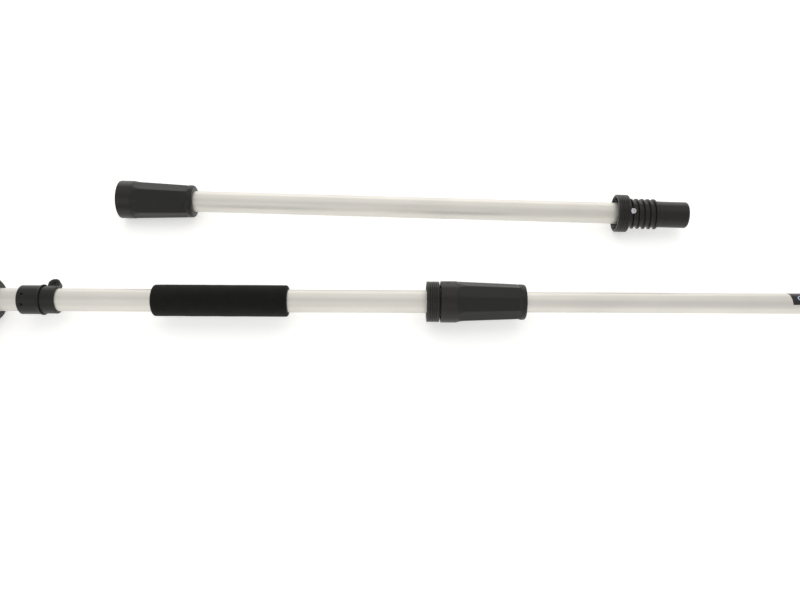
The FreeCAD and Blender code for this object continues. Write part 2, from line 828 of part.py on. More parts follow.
def coil_spring(label, start, length, **spot):
    """Make a compression spring along its own X axis."""
    body = new_body(label, **spot)
    wire = circles(body, f"{label}_wire", [(f"{start} + 0.5", "3")], "0.45")
    feature(body, "AdditiveHelix", f"{label}_coil", wire, ReferenceAxis=(wire, ["H_Axis"]),
            Mode=0, Pitch="3", Height=f"{length} - 1")
    return body


def trigger_spring():
    low = "3.2 - trigger_drop"
    return coil_spring("trigger_spring", low, f"handle_grip_radius - handle_wall - 1 - ({low})",
                       x="handle_face - trigger_station - trigger_reach + 8", turns=[TOPWARD])


def lock_off_button():
    body = new_body("lock_off_button", x="handle_face - lock_button_station", turns=[UPWARD])
    flange = "handle_bore - 2"
    rim = "lock_button_radius + 1.5"
    turn(body, "button", [
        (f"{flange} - 2", "0"), ("handle_radius + 3", "0"),
        ("handle_radius + 3", "lock_button_radius - 1"),
        ("handle_radius + 2", "lock_button_radius"), (flange, "lock_button_radius"),
        (flange, rim), (f"{flange} - 2", rim)])
    return body


def lock_off_spring():
    return coil_spring("lock_off_spring", "8", "handle_bore - 4.2 - 8",
                       x="handle_face - lock_button_station", turns=[UPWARD])


# ---- saw head, whose pieces count their X from the front end of the front tube ----

def head_screw_spots():
    side = "case_half_width - 7"
    return [("21", "motor_bore - 4.5"), ("21", "4.5 - motor_bore"),
            ("case_wall_end + 5", side), ("case_wall_end + 5", f"-({side})"),
            ("case_end - 8", side), ("case_end - 8", f"-({side})")]


def housing_half(label, right):
    """Make one half of the head's housing, to the right or the left of the plane Z = 0."""
    body = new_body(label, x="head_start")
    side = {"Reversed": not right}
    inward = {"Reversed": right}
    sign = "" if right else "-"
    depth = "case_top" if right else "rest_depth"
    width = "case_half_width"
    axle = "pinion_start + gear_radius"
    pad(body, "case", rectangle(("case_start", f"-{width}"), ("case_end", width)), depth, **side)
    dress(body, "Fillet", "case_corners", "9", upright)
    dress(body, "Fillet", "case_rim", "4", level_at(f"{sign}{depth}"))
    pocket(body, "case_room", rectangle(
        ("case_wall_end", f"housing_wall - {width}"),
        ("case_end - housing_wall", f"{width} - housing_wall")),
        f"{depth} - housing_wall", **inward)
    turn(body, "motor_shell", [
        ("-neck_length", "front_radius + seat_gap"), ("-neck_length", "front_radius + neck_wall - 1"),
        ("1 - neck_length", "front_radius + neck_wall"), ("-12", "front_radius + neck_wall"),
        ("12", "motor_radius"), ("case_start + 2", "motor_radius"), ("case_start + 2", "motor_bore"),
        ("14", "motor_bore"), ("0", "front_radius + 3"), ("0", "front_radius + seat_gap")],
         Angle="180", **side)
    turn(body, "bearing_rib", rectangle(
        ("3.5", "motor_bearing_radius + seat_gap"), ("5 + motor_bearing_width", "motor_bore - 3")),
         Angle="180", **side)
    spots = head_screw_spots()
    studs(body, "neck_bosses", spots[:2], "screw_boss_radius", "motor_bore * 0.6", **side)
    studs(body, "case_bosses", spots[2:], "screw_boss_radius", f"{depth} - 1", **side)
    studs(body, "axle_boss", [(axle, "0")], "shaft_bearing_radius + 3",
          "shaft_bearing_width + 3", height=f"{sign}({depth} - shaft_bearing_width - 4)", **side)
    seat = ("shaft_bearing_top - shaft_bearing_width - 3" if right
            else "shaft_bearing_low + shaft_bearing_width + 3")
    bores(body, "axle_seat", [(axle, "0")], "shaft_bearing_radius + seat_gap",
          "shaft_bearing_width + 3", height=seat, **inward)
    groove(body, "bearing_seat", rectangle(
        ("case_start - 1", "0"), ("case_wall_end + 1", "motor_bearing_radius + seat_gap")))
    hole_depth = f"{depth} + 1" if right else f"{depth} - 4"
    bores(body, "screw_holes", spots, "screw_radius + seat_gap", hole_depth, **inward)
    if right:
        pad(body, "bar_seat", rectangle(
            (f"{axle} + stud_station - 12", "-11"), (f"{axle} + stud_station + 14", "11")),
            "bar_low - case_top + 1 - seat_gap", height="case_top - 1")
        pad(body, "tension_lug", rectangle(
            ("case_end - 9", "tension_offset - 4.5"), ("case_end - 3", "tension_offset + 4.5")),
            "bar_low - case_top + 1 - seat_gap", height="case_top - 1")
        bores(body, "tension_hole", [("tension_offset", "(bar_low + case_top) / 2")],
              "tension_screw_radius + seat_gap", "case_length / 3", "YZ_Plane", "case_end - 25",
              Reversed=True)
        bores(body, "stud_hole", [(f"{axle} + stud_station", "0")], "stud_radius + pin_gap",
              "bar_low", **inward)
        bores(body, "axle_hole", [(axle, "0")], "sprocket_shaft_radius + 2", "case_top + 1",
              **inward)
        bores(body, "neck_screw_seats", spots[:2], "screw_head_radius + seat_gap", "motor_radius",
              height="motor_bore * 0.45", **inward)
        bores(body, "case_screw_seats", spots[2:], "screw_head_radius + seat_gap", "motor_radius",
              height="case_top - screw_head_height - 1", **inward)
    return body


def housing_screws():
    spots = head_screw_spots()
    near = z_screws("neck_screws", spots[:2], "motor_bore * 0.45 + seat_gap", "-motor_bore * 0.45",
                    x="head_start")
    far = z_screws("case_screws", spots[2:], "case_top - screw_head_height - 1 + seat_gap",
                   "5 - rest_depth", x="head_start")
    return group("housing_screws", [near, far])


def motor_stator():
    return sleeve("motor_stator", "motor_length", "motor_bore - seat_gap",
                  "motor_bore - stator_wall", x="head_start + motor_start")


def motor_windings():
    body = new_body("motor_windings", x="head_start")
    inner, outer = "motor_bore - stator_wall + 0.5", "motor_bore - 2.5"
    turn(body, "rear_winding", rectangle(("motor_start - 8", inner),
                                         ("motor_start - seat_gap", outer)))
    turn(body, "front_winding", rectangle(("motor_end + seat_gap", inner),
                                          ("motor_end + 8", outer)))
    return body


def brush_holders():
    body = new_body("brush_holders", x="head_start")
    near, long = "commutator_radius + slide_gap", "motor_bore - commutator_radius - 3"
    for name, sign in (("right_holder", ""), ("left_holder", "-")):
        pad(body, name, rectangle(("16", "-4"), ("26", "4")), long, height=f"{sign}({near})",
            Reversed=bool(sign))
    return body


def motor_bearings():
    body = new_body("motor_bearings", x="head_start")
    inner, width = "motor_shaft_radius + pin_gap", "motor_bearing_width"
    turn(body, "rear_bearing", rectangle(("4", inner), (f"4 + {width}", "motor_bearing_radius")))
    turn(body, "front_bearing", rectangle(("case_start + 1", inner),
                                          (f"case_start + 1 + {width}", "motor_bearing_radius")))
    return body


def shaft_bearings():
    body = new_body("shaft_bearings", x="axle_x", turns=[UPWARD])
    inner, outer = "sprocket_shaft_radius + pin_gap", "shaft_bearing_radius"
    turn(body, "low_bearing", rectangle(
        ("shaft_bearing_low + seat_gap", inner),
        ("shaft_bearing_low + shaft_bearing_width", outer)))
    turn(body, "top_bearing", rectangle(
        ("shaft_bearing_top - shaft_bearing_width", inner),
        ("shaft_bearing_top - seat_gap", outer)))
    return body


def armature_shaft():
    body = new_body("armature_shaft", x="head_start")
    neck = "case_wall_end + 1"
    end = "pinion_start + gear_face + 1"
    turn(body, "shaft", [("4", "0"), (end, "0"), (end, "motor_shaft_radius * 0.7"),
                         (neck, "motor_shaft_radius * 0.7"), (neck, "motor_shaft_radius"),
                         ("4", "motor_shaft_radius")])
    return body


def armature_core():
    body = sleeve("armature_core", "motor_length", "rotor_radius", "motor_shaft_radius + seat_gap",
                  x="head_start + motor_start")
    slot = pocket(body, "core_slot", rectangle(("-1", "-1.2"), ("motor_length + 1", "1.2")),
                  "rotor_radius", height="rotor_radius - 3", Reversed=True)
    repeat_round(body, "core_slots", slot, 12)
    return body


def commutator():
    return sleeve("commutator", "14", "commutator_radius", "motor_shaft_radius + seat_gap",
                  x="head_start + 14")


def cooling_fan():
    body = new_body("cooling_fan", x="head_start + motor_end + 9.5")
    inner = "motor_shaft_radius + seat_gap"
    turn(body, "fan_disc", [("0", inner), ("10", inner), ("10", "fan_radius * 0.4"),
                            ("2", "fan_radius * 0.4"), ("2", "fan_radius"), ("0", "fan_radius")])
    blade = pad(body, "fan_blade", rectangle(("1", "-0.8"), ("9", "0.8")), "fan_radius * 0.62",
                height="fan_radius * 0.36")
    repeat_round(body, "fan_blades", blade, 9)
    return body


def tooth_ring(teeth, pitch_angle, distance, quarter_turn):
    """List a bevel gear's tooth corners in the plane at a distance from the cone's apex."""
    module_angle = math.atan(number("gear_module") / math.hypot(number("gear_radius"),
                                                                number("pinion_radius")))
    tip, root = pitch_angle + 0.8 * module_angle, pitch_angle - 1.1 * module_angle
    tip_reach, root_reach = distance * math.tan(tip), distance * math.tan(root)
    step = 2 * math.pi / teeth
    corners = []
    for tooth in range(teeth):
        middle = tooth * step + quarter_turn
        for reach, share in ((root_reach, -0.36), (tip_reach, -0.13), (tip_reach, 0.13),
                             (root_reach, 0.36)):
            angle = middle + share * step
            corners.append(FreeCAD.Vector(distance, reach * math.cos(angle), reach * math.sin(angle)))
    return corners


def bevel(teeth, pitch_angle, near, far, quarter_turn):
    """Make a straight bevel gear about the X axis, with its cone's apex at the origin."""
    wires = []
    for distance in (near, far):
        corners = tooth_ring(teeth, pitch_angle, distance, quarter_turn)
        wires.append(Part.makePolygon(corners + corners[:1]))
    return Part.makeLoft(wires, True, True)


def cylinder(radius, low, high):
    """Make a round solid about the X axis between two stations."""
    axis = FreeCAD.Vector(1, 0, 0)
    return Part.makeCylinder(radius, high - low, FreeCAD.Vector(low, 0, 0), axis)


def bevel_pinion():
    teeth = int(number("pinion_teeth"))
    pitch_angle = math.atan(number("pinion_radius / gear_radius"))
    far, near = number("gear_radius"), number("gear_radius - gear_face")
    solid = bevel(teeth, pitch_angle, near, far, math.pi / 2)
    solid = solid.fuse(cylinder(number("pinion_radius * 0.72"), far - 0.01, far + 7))
    solid = solid.cut(cylinder(number("motor_shaft_radius * 0.7 + seat_gap"), near - 1, far + 8))
    made = doc.addObject("Part::Feature", "bevel_pinion")
    made.Label = "bevel_pinion"
    made.Shape = solid
    return place(made, x="axle_x", turns=[("z", "180")])


def bevel_gear():
    teeth = int(number("gear_teeth"))
    pitch_angle = math.atan(number("gear_radius / pinion_radius"))
    far = number("pinion_radius + 0.5")
    near = number("pinion_radius * (gear_radius - gear_face) / gear_radius")
    hub_end = number("shaft_bearing_top - shaft_bearing_width - 1")
    solid = bevel(teeth, pitch_angle, near, far, math.pi / teeth)
    solid = solid.common(cylinder(number("gear_radius + 1.5"), near - 1, far + 1))
    solid = solid.fuse(cylinder(number("gear_radius * 0.45"), far - 0.01, hub_end))
    solid = solid.cut(cylinder(number("sprocket_shaft_radius + seat_gap"), near - 1, hub_end + 1))
    made = doc.addObject("Part::Feature", "bevel_gear")
    made.Label = "bevel_gear"
    made.Shape = solid
    return place(made, x="axle_x", turns=[UPWARD])


def sprocket_shaft():
    body = new_body("sprocket_shaft", x="axle_x", turns=[UPWARD])
    turn(body, "axle", rectangle(("shaft_bearing_low + seat_gap", "0"),
                                 ("cover_top - cover_wall - 2", "sprocket_shaft_radius")))
    return body


def drive_sprocket():
    body = new_body("drive_sprocket", x="axle_x")
    tip, root = "sprocket_radius", "sprocket_radius * 0.78"
    pad(body, "sprocket_star", star([tip, tip, root, root] * 7), "chain_width",
        height="bar_middle - chain_width / 2")
    bores(body, "sprocket_bore", [("0", "0")], "sprocket_shaft_radius + seat_gap",
          "bar_middle * 2", Reversed=True)
    return body


def sprocket_clip():
    return sleeve("sprocket_clip", "1.2", "sprocket_shaft_radius + 3",
                  "sprocket_shaft_radius + pin_gap", x="axle_x",
                  z="bar_middle + chain_width / 2 + seat_gap", turns=[UPWARD])


def bar_outline(rear, rear_width, margin):
    """List the bar's corners, grown by a margin, from its rear end to its nose and back."""
    far, shoulder = f"bar_setback + bar_length + {margin}", "bar_length * 0.7"
    half = [(rear, rear_width), (shoulder, f"bar_half_width + {margin}"),
            (far, f"bar_nose + {margin}")]
    return half + [(x, f"-({y})") for x, y in reversed(half)]


def guide_bar():
    body = new_body("guide_bar", x="axle_x")
    pad(body, "bar_plate", bar_outline("bar_setback", "bar_half_width - 3", "0"), "bar_thickness",
        height="bar_low")
    dress(body, "Fillet", "bar_tip", "bar_nose * 0.98", upright_at("bar_setback + bar_length"))
    pocket(body, "stud_slot", rectangle(
        ("stud_station - stud_radius - 4", "-stud_radius - slide_gap"),
        ("stud_station + stud_radius + 8", "stud_radius + slide_gap")),
        "bar_high", Reversed=True)
    bores(body, "pin_hole", [("stud_station", "tension_offset")], "tension_screw_radius + seat_gap * 2",
          "bar_high", Reversed=True)
    return body


def saw_chain():
    """Make the chain as one closed band round the bar and the sprocket."""
    body = new_body("saw_chain", x="axle_x")
    low = "bar_middle - chain_width / 2"
    margin = "slide_gap + chain_height"
    axle = [("0", "0")]
    pad(body, "band", bar_outline("0", f"bar_half_width + {margin}", margin), "chain_width",
        height=low)
    dress(body, "Fillet", "band_nose", f"bar_nose + {margin} - 0.5",
          upright_at(f"bar_setback + bar_length + {margin}"))
    studs(body, "band_rear", axle, f"bar_half_width + {margin}", "chain_width", height=low)
    pocket(body, "band_room", bar_outline("0", "chain_inner", "slide_gap"), "chain_width * 2",
           height=f"{low} - 1", Reversed=True)
    dress(body, "Fillet", "room_nose", "bar_nose * 0.98",
          upright_at("bar_setback + bar_length + slide_gap"))
    bores(body, "rear_room", axle, "chain_inner", "chain_width * 2", height=f"{low} - 1",
          Reversed=True)
    return body


def sprocket_cover():
    body = new_body("sprocket_cover", x="axle_x")
    rear, front = "case_start - pinion_start - gear_radius + 6", "case_end - pinion_start - gear_radius"
    width = "case_half_width - 1"
    low = "case_top + seat_gap"
    pad(body, "cover_block", rectangle((rear, f"-({width})"), (front, width)),
        "cover_height - seat_gap", height=low)
    dress(body, "Fillet", "cover_rear", "case_half_width * 0.6", upright_at(rear))
    dress(body, "Fillet", "cover_rim", "4", level_at("cover_top"))
    pocket(body, "cover_room", rectangle(
        (f"{rear} + 2.5", f"cover_wall - ({width})"), (f"{front} - cover_wall", f"{width} - cover_wall")),
        "cover_height - cover_wall - seat_gap", height=low, Reversed=True)
    reach = "bar_half_width + chain_height + 1.5"
    pocket(body, "cover_mouth", rectangle(
        (f"{front} - cover_wall - 4", f"-({reach})"), (f"{front} + 1", reach)),
        "bar_middle + chain_width / 2 + 1 - case_top", height=low, Reversed=True)
    stud = [("stud_station", "0")]
    studs(body, "clamp_boss", stud, "stud_radius * 2.2", "cover_top - 1 - bar_high - seat_gap",
          height="bar_high + seat_gap")
    bores(body, "stud_clearance", stud, "stud_radius + slide_gap", "cover_top", Reversed=True)
    return body


def bar_stud():
    body = new_body("bar_stud", x="axle_x + stud_station")
    studs(body, "stud", [("0", "0")], "stud_radius", "cover_top + 10 - (case_top - 8)",
          height="case_top - 8")
    return body


def bar_nut():
    body = new_body("bar_nut", x="axle_x + stud_station")
    pad(body, "nut_hex", hexagon("stud_radius * 2.1"), "stud_radius * 1.8",
        height="cover_top + slide_gap")
    bores(body, "nut_thread", [("0", "0")], "stud_radius + seat_gap", "cover_top * 2",
          Reversed=True)
    return body


def tension_pin():
    """Make the block on the tension screw, with the pin that moves the bar."""
    body = new_body("tension_pin", x="axle_x + stud_station", y="tension_offset")
    low, high = "case_top + slide_gap", "bar_low - slide_gap"
    pad(body, "pin_block", rectangle(("-4", "-4"), ("4", "4")), f"{high} - ({low})", height=low)
    studs(body, "bar_pin", [("0", "0")], "tension_screw_radius", f"bar_high - ({high}) + 0.1",
          height=f"{high} - 0.1")
    bores(body, "block_thread", [("0", "(bar_low + case_top) / 2")],
          "tension_screw_radius + seat_gap", "20", "YZ_Plane", Midplane=True)
    return body


def tension_screw():
    body = new_body("tension_screw", x="head_start", y="tension_offset",
                    z="(bar_low + case_top) / 2")
    start, head = "pinion_start + gear_radius + stud_station - 8", "case_end + 1"
    wide = "tension_screw_radius"
    turn(body, "screw", [(start, "0"), (f"{head} + 3", "0"), (f"{head} + 3", f"{wide} + 0.2"),
                         (head, f"{wide} + 0.2"), (head, wide), (start, wide)])
    pocket(body, "driver_slot", rectangle(("-4", "-0.5"), ("4", "0.5")), "1.2", "YZ_Plane",
           f"{head} + 3")
    return body


def tank_spot():
    return {"x": "head_start + case_start + 6", "y": "case_half_width + seat_gap"}


def oil_tank():
    body = new_body("oil_tank", **tank_spot())
    pad(body, "tank_block", rectangle(("0", "0"), ("tank_length", "tank_depth")), "tank_height",
        Midplane=True)
    top = number("tank_depth")
    dress(body, "Fillet", "tank_corners", "10",
          lambda edge: upright(edge) and abs(edge.BoundBox.YMax - top) < 1e-3)
    pocket(body, "tank_room", rectangle(("tank_wall", "tank_wall"),
                                        ("tank_length - tank_wall", "tank_depth - tank_wall")),
           "tank_height - 2 * tank_wall", height="tank_wall - tank_height / 2", Reversed=True)
    neck = [("tank_length / 2", "tank_depth / 2")]
    studs(body, "tank_neck", neck, "cap_radius - 4", "7", height="tank_height / 2 - 0.5")
    bores(body, "tank_filler", neck, "cap_radius - 6", "tank_height", height="0", Reversed=True)
    return body


def oil_cap():
    spot = tank_spot()
    body = new_body("oil_cap", x=f"{spot['x']} + tank_length / 2",
                    y=f"{spot['y']} + tank_depth / 2", z="tank_height / 2 + slide_gap",
                    turns=[UPWARD])
    turn(body, "cap", [
        ("0", "cap_radius - 4 + slide_gap"), ("cap_height - 3", "cap_radius - 4 + slide_gap"),
        ("cap_height - 3", "0"), ("cap_height", "0"), ("cap_height", "cap_radius - 1.5"),
        ("cap_height - 1.5", "cap_radius"), ("0", "cap_radius")])
    notch = bores(body, "cap_notch", [("0", "cap_radius + 1")], "2", "cap_height", "YZ_Plane",
                  Reversed=True)
    repeat_round(body, "cap_notches", notch, 14)
    return body


def oil_pump():
    body = new_body("oil_pump", x="axle_x")
    studs(body, "pump", [("-shaft_bearing_radius - 8", "case_top - 7")], "3.2",
          "26", "YZ_Plane", Midplane=True)
    return body


def spiked_bumper():
    body = new_body("spiked_bumper", x="head_start + case_end + seat_gap")
    reach = "case_half_width - 8"
    pad(body, "bumper_plate", rectangle(("0", f"-({reach})"), ("2.5", reach)), "16", height="6")
    teeth = [("0", f"-({reach})")]
    for tooth in range(5):
        teeth += [("4", f"({reach}) * {-1 + 0.4 * tooth:.1f}"),
                  ("4 + spike_length", f"({reach}) * {-0.8 + 0.4 * tooth:.1f}")]
    teeth += [("4", reach), ("0", reach)]
    pad(body, "bumper_spikes", teeth, "2.5", height="19.5")
    return body


# ---- everything together ----

NODES = [
    rear_tube(), foam_grip(),
    threaded_plug("rear_plug", "rear_bore", x="flange_face", turns=[("x", "plug_roll")]),
    plug_screw("rear_plug_screw", x="flange_face + plug_screw_station",
               turns=[("x", "plug_roll"), UPWARD]),
    union_nut("lock_nut", "nut_length", "rear_bore + slide_gap * 2",
              "plug_length - nut_gap + collet_head + thrust_ring_width + slide_gap * 2",
              x="nut_start", turns=[("x", "plug_roll")]),
    collet(), thrust_ring(), front_tube(), tube_end_bush(), coiled_lead(),
    harness_collar(), harness_screws(), harness_eye(),
    extension_tube(), extension_core(), extension_nut(), extension_plug(), extension_plug_screw(),
    handle_shell("handle_shell_right", True), handle_shell("handle_shell_left", False),
    handle_screws(), grip_sleeve(), mains_inlet(), inlet_pins(), switch_body(), supply_wires(),
    trigger(), trigger_pin(), trigger_spring(), lock_off_button(), lock_off_spring(),
    housing_half("housing_right", True), housing_half("housing_left", False), housing_screws(),
    motor_stator(), motor_windings(), brush_holders(), motor_bearings(), shaft_bearings(),
    armature_shaft(), armature_core(), commutator(), cooling_fan(), bevel_pinion(), bevel_gear(),
    sprocket_shaft(), drive_sprocket(), sprocket_clip(),
    guide_bar(), saw_chain(), sprocket_cover(), bar_stud(), bar_nut(), tension_pin(),
    tension_screw(), oil_tank(), oil_cap(), oil_pump(), spiked_bumper(),
]

doc.recompute()
for thing in doc.Objects:
    if {"Invalid", "Error"} & set(thing.State):
        raise ValueError(f"{thing.Name} failed")
os.makedirs("parts", exist_ok=True)
for node in NODES:
    if node.Shape.isNull() or not node.Shape.isValid():
        raise ValueError(f"{node.Label} has no valid shape")
    node.Shape.exportStep(f"parts/{node.Label}.step")
print(len(NODES), "nodes")
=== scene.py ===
import json
import math

import bmesh
import bpy
from mathutils import Matrix, Vector, noise


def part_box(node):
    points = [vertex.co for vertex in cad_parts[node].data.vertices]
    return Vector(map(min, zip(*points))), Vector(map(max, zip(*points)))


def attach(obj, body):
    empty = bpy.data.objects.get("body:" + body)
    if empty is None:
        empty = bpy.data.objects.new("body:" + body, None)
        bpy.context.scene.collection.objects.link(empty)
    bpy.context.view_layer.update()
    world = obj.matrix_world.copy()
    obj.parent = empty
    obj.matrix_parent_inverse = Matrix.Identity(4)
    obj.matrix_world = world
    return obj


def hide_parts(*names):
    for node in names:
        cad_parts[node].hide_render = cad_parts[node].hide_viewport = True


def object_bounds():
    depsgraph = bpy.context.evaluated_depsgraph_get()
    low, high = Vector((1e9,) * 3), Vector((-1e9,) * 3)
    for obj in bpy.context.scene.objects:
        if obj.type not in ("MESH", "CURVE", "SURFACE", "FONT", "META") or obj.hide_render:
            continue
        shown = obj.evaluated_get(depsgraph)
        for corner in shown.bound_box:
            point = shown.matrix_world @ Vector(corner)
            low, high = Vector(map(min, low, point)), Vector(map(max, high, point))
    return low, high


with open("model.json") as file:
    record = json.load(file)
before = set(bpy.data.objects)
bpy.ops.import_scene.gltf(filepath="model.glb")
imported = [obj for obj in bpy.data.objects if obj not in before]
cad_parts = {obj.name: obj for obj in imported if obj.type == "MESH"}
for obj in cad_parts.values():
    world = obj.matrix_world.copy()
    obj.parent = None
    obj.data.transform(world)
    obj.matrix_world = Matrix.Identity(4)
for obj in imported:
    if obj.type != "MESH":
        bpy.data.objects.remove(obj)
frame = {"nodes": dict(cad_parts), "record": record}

# Telescoping pole saw, in metres. +X runs along the pole to the saw head, +Z is up.
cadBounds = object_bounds()
nodes = frame["nodes"]
millimetre = 0.001


# Colours and shader nodes.
def hexColour(text):  # sRGB hex to linear
    parts = [int(text[i:i + 2], 16) / 255 for i in (1, 3, 5)]
    return (*(p / 12.92 if p <= 0.04045 else ((p + 0.055) / 1.055) ** 2.4 for p in parts), 1)


def addNode(material, kind, values=None, **settings):
    node = material.node_tree.nodes.new("ShaderNode" + kind)
    for name, value in settings.items():
        setattr(node, name, value)
    for socket, value in (values or {}).items():
        if isinstance(value, bpy.types.NodeSocket):
            material.node_tree.links.new(value, node.inputs[socket])
        else:
            node.inputs[socket].default_value = value
    return node


def startMaterial(name, shader):
    material = bpy.data.materials.new(name)
    material.use_nodes = True
    material.node_tree.nodes.clear()
    surface = addNode(material, "BsdfPrincipled", shader)
    output = addNode(material, "OutputMaterial")
    material.node_tree.links.new(surface.outputs["BSDF"], output.inputs["Surface"])
    return material, surface


def joinTo(material, surface, socket, value):
    material.node_tree.links.new(value, surface.inputs[socket])


def grainPattern(material, size, stretch=1.0, yaw=0.0, detail=3.0):
    # noise whose grains measure size mm across the piece and stretch times that along X
    spot = addNode(material, "TexCoord").outputs["Object"]
    turned = addNode(material, "Mapping", {"Vector": spot, "Rotation": (0, 0, math.radians(yaw))})
    scale = 1 / (size * millimetre)
    sized = addNode(material, "Mapping", {"Vector": turned.outputs["Vector"],
                                          "Scale": (scale / stretch, scale, scale)})
    return addNode(material, "TexNoise", {"Vector": sized.outputs["Vector"], "Scale": 1.0,
                                          "Detail": detail, "Roughness": 0.6}).outputs["Fac"]


def spread(material, value, low, high, start=0.3, end=0.7):
    return addNode(material, "MapRange", {"Value": value, "From Min": start, "From Max": end,
                                          "To Min": low, "To Max": high}).outputs["Result"]


mixSockets = {"first": 6, "second": 7, "result": 2}  # a mix node's colour sockets


def blendColours(material, share, first, second):
    mixed = addNode(material, "Mix", {"Factor": share}, data_type="RGBA")
    mixed.inputs[mixSockets["first"]].default_value = hexColour(first)
    mixed.inputs[mixSockets["second"]].default_value = hexColour(second)
    return mixed.outputs[mixSockets["result"]]


def roundedNormal(material, radius):  # softens an edge as moulding or machining leaves it
    return addNode(material, "Bevel", {"Radius": radius * millimetre}, samples=4).outputs["Normal"]


def edgeShare(material, rounded):  # 1 along an edge, 0 on the faces beside it
    flat = addNode(material, "NewGeometry").outputs["Normal"]
    level = addNode(material, "VectorMath", {0: rounded, 1: flat}, operation="DOT_PRODUCT")
    return spread(material, level.outputs["Value"], 1.0, 0.0, start=0.90, end=0.99)


def surfaceFinish(name, colours, grain, bump, roughness, stretch=1.0, yaw=0.0, edge=None,
                  edgeRadius=0.4, blotch=35, **shader):
    # grain and blotch are pattern sizes in mm, bump is the relief in mm
    material, surface = startMaterial(name, shader)
    fine = grainPattern(material, grain, stretch, yaw)
    broad = grainPattern(material, blotch, 2.0, yaw, detail=2.0)
    colour = blendColours(material, spread(material, broad, 0.0, 1.0), *colours)
    rounded = roundedNormal(material, edgeRadius)
    if edge:
        worn = addNode(material, "Mix", {"Factor": edgeShare(material, rounded)}, data_type="RGBA")
        joinTo(material, worn, mixSockets["first"], colour)
        worn.inputs[mixSockets["second"]].default_value = hexColour(edge)
        colour = worn.outputs[mixSockets["result"]]
    joinTo(material, surface, "Base Color", colour)
    joinTo(material, surface, "Roughness", spread(material, fine, *roughness))
    relief = addNode(material, "Bump", {"Height": fine, "Distance": bump * millimetre,
                                        "Normal": rounded})
    joinTo(material, surface, "Normal", relief.outputs["Normal"])
    return material


# Finishes, each named for the real material.
# Drawn tube, satin etched and clear anodised: pale, soft lines along X from the drawing die.
# The lines are about three times as coarse as real ones, so that they show. The loose tube's
# lines are turned to lie along it.
tubeFinish = {"colours": ("#d6d3cd", "#dfdcd6"), "grain": 0.5, "stretch": 90, "bump": 0.004,
              "roughness": (0.46, 0.56), "Metallic": 1.0, "blotch": 60}
anodisedAluminium = surfaceFinish("anodisedAluminium", **tubeFinish)
anodisedExtension = surfaceFinish("anodisedAluminiumExtension", yaw=2, **tubeFinish)
# Glass-filled nylon from a spark-eroded mould: charcoal, fine stipple, faint grey bloom.
glassFilledNylon = surfaceFinish(
    "glassFilledNylon", ("#111110", "#171715"), grain=0.9, bump=0.035, roughness=(0.34, 0.44),
    edge="#33322e", IOR=1.53, **{"Specular IOR Level": 0.3})
# The same nylon, smoother, on the parts beside the pale tube: its browner tint is a painted
# reflection of that tube.
reflectionTintedNylon = surfaceFinish(
    "reflectionTintedNylon", ("#141210", "#1e1b18"), grain=1.4, bump=0.025, roughness=(0.3, 0.42),
    edge="#3d3933", IOR=1.53, **{"Specular IOR Level": 0.32})
# Unfilled nylon inner pieces: plain off-black, slightly glossy.
nylonInner = surfaceFinish("nylonInner", ("#141413", "#1c1c1b"), grain=2.0, bump=0.02,
                           roughness=(0.32, 0.42), IOR=1.53)
# PA6 power-tool shells: dark grey with a leathery moulded stipple.
stippledShell = surfaceFinish(
    "stippledShell", ("#161614", "#1e1e1b"), grain=1.1, bump=0.07, roughness=(0.42, 0.56),
    edge="#3b3b36", IOR=1.53, **{"Specular IOR Level": 0.3})
# Coloured ABS for what the hands find first: even colour, low gloss.
colouredAbs = surfaceFinish(
    "colouredAbs", ("#15508f", "#1a5a9c"), grain=1.2, bump=0.03, roughness=(0.32, 0.42),
    edge="#4f86c0", IOR=1.54)
# Soft overmould: matte black rubber that scatters light at a low angle.
softRubber = surfaceFinish(
    "softRubber", ("#161615", "#1e1e1d"), grain=0.8, bump=0.06, roughness=(0.7, 0.85),
    IOR=1.5, **{"Sheen Weight": 0.15, "Sheen Roughness": 0.5})
cableRubber = surfaceFinish("cableRubber", ("#131313", "#1b1b1b"), grain=1.5, bump=0.03,
                            roughness=(0.55, 0.7), IOR=1.5)
# Bright zinc screws and pins: blue-white, faint streaks from tumbling.
brightZinc = surfaceFinish("brightZinc", ("#c9ccd0", "#dcdee0"), grain=0.7, bump=0.01,
                           roughness=(0.16, 0.28), edgeRadius=0.15, Metallic=1.0)
# Phosphate-blackened steel: dark, dry, with grey showing on the edges.
blackenedSteel = surfaceFinish(
    "blackenedSteel", ("#2a2a2b", "#3a3a3b"), grain=0.8, bump=0.02, roughness=(0.42, 0.58),
    edge="#77777a", edgeRadius=0.25, Metallic=1.0)
groundSteel = surfaceFinish("groundSteel", ("#b1b2b5", "#c4c5c8"), grain=0.4, stretch=12,
                            bump=0.006, roughness=(0.2, 0.34), edgeRadius=0.2, Metallic=1.0)
cutGearSteel = surfaceFinish("cutGearSteel", ("#77797c", "#8e9093"), grain=0.5, bump=0.012,
                             roughness=(0.3, 0.45), edge="#c9cacc", edgeRadius=0.2, Metallic=1.0)
# Guide bar: hardened plate ground lengthwise, with its lacquer worn at the rails.
groundBarSteel = surfaceFinish(
    "groundBarSteel", ("#8b8f94", "#a3a6aa"), grain=0.35, stretch=60, bump=0.012,
    roughness=(0.26, 0.42), edge="#d2d3d5", edgeRadius=0.8, Metallic=1.0)
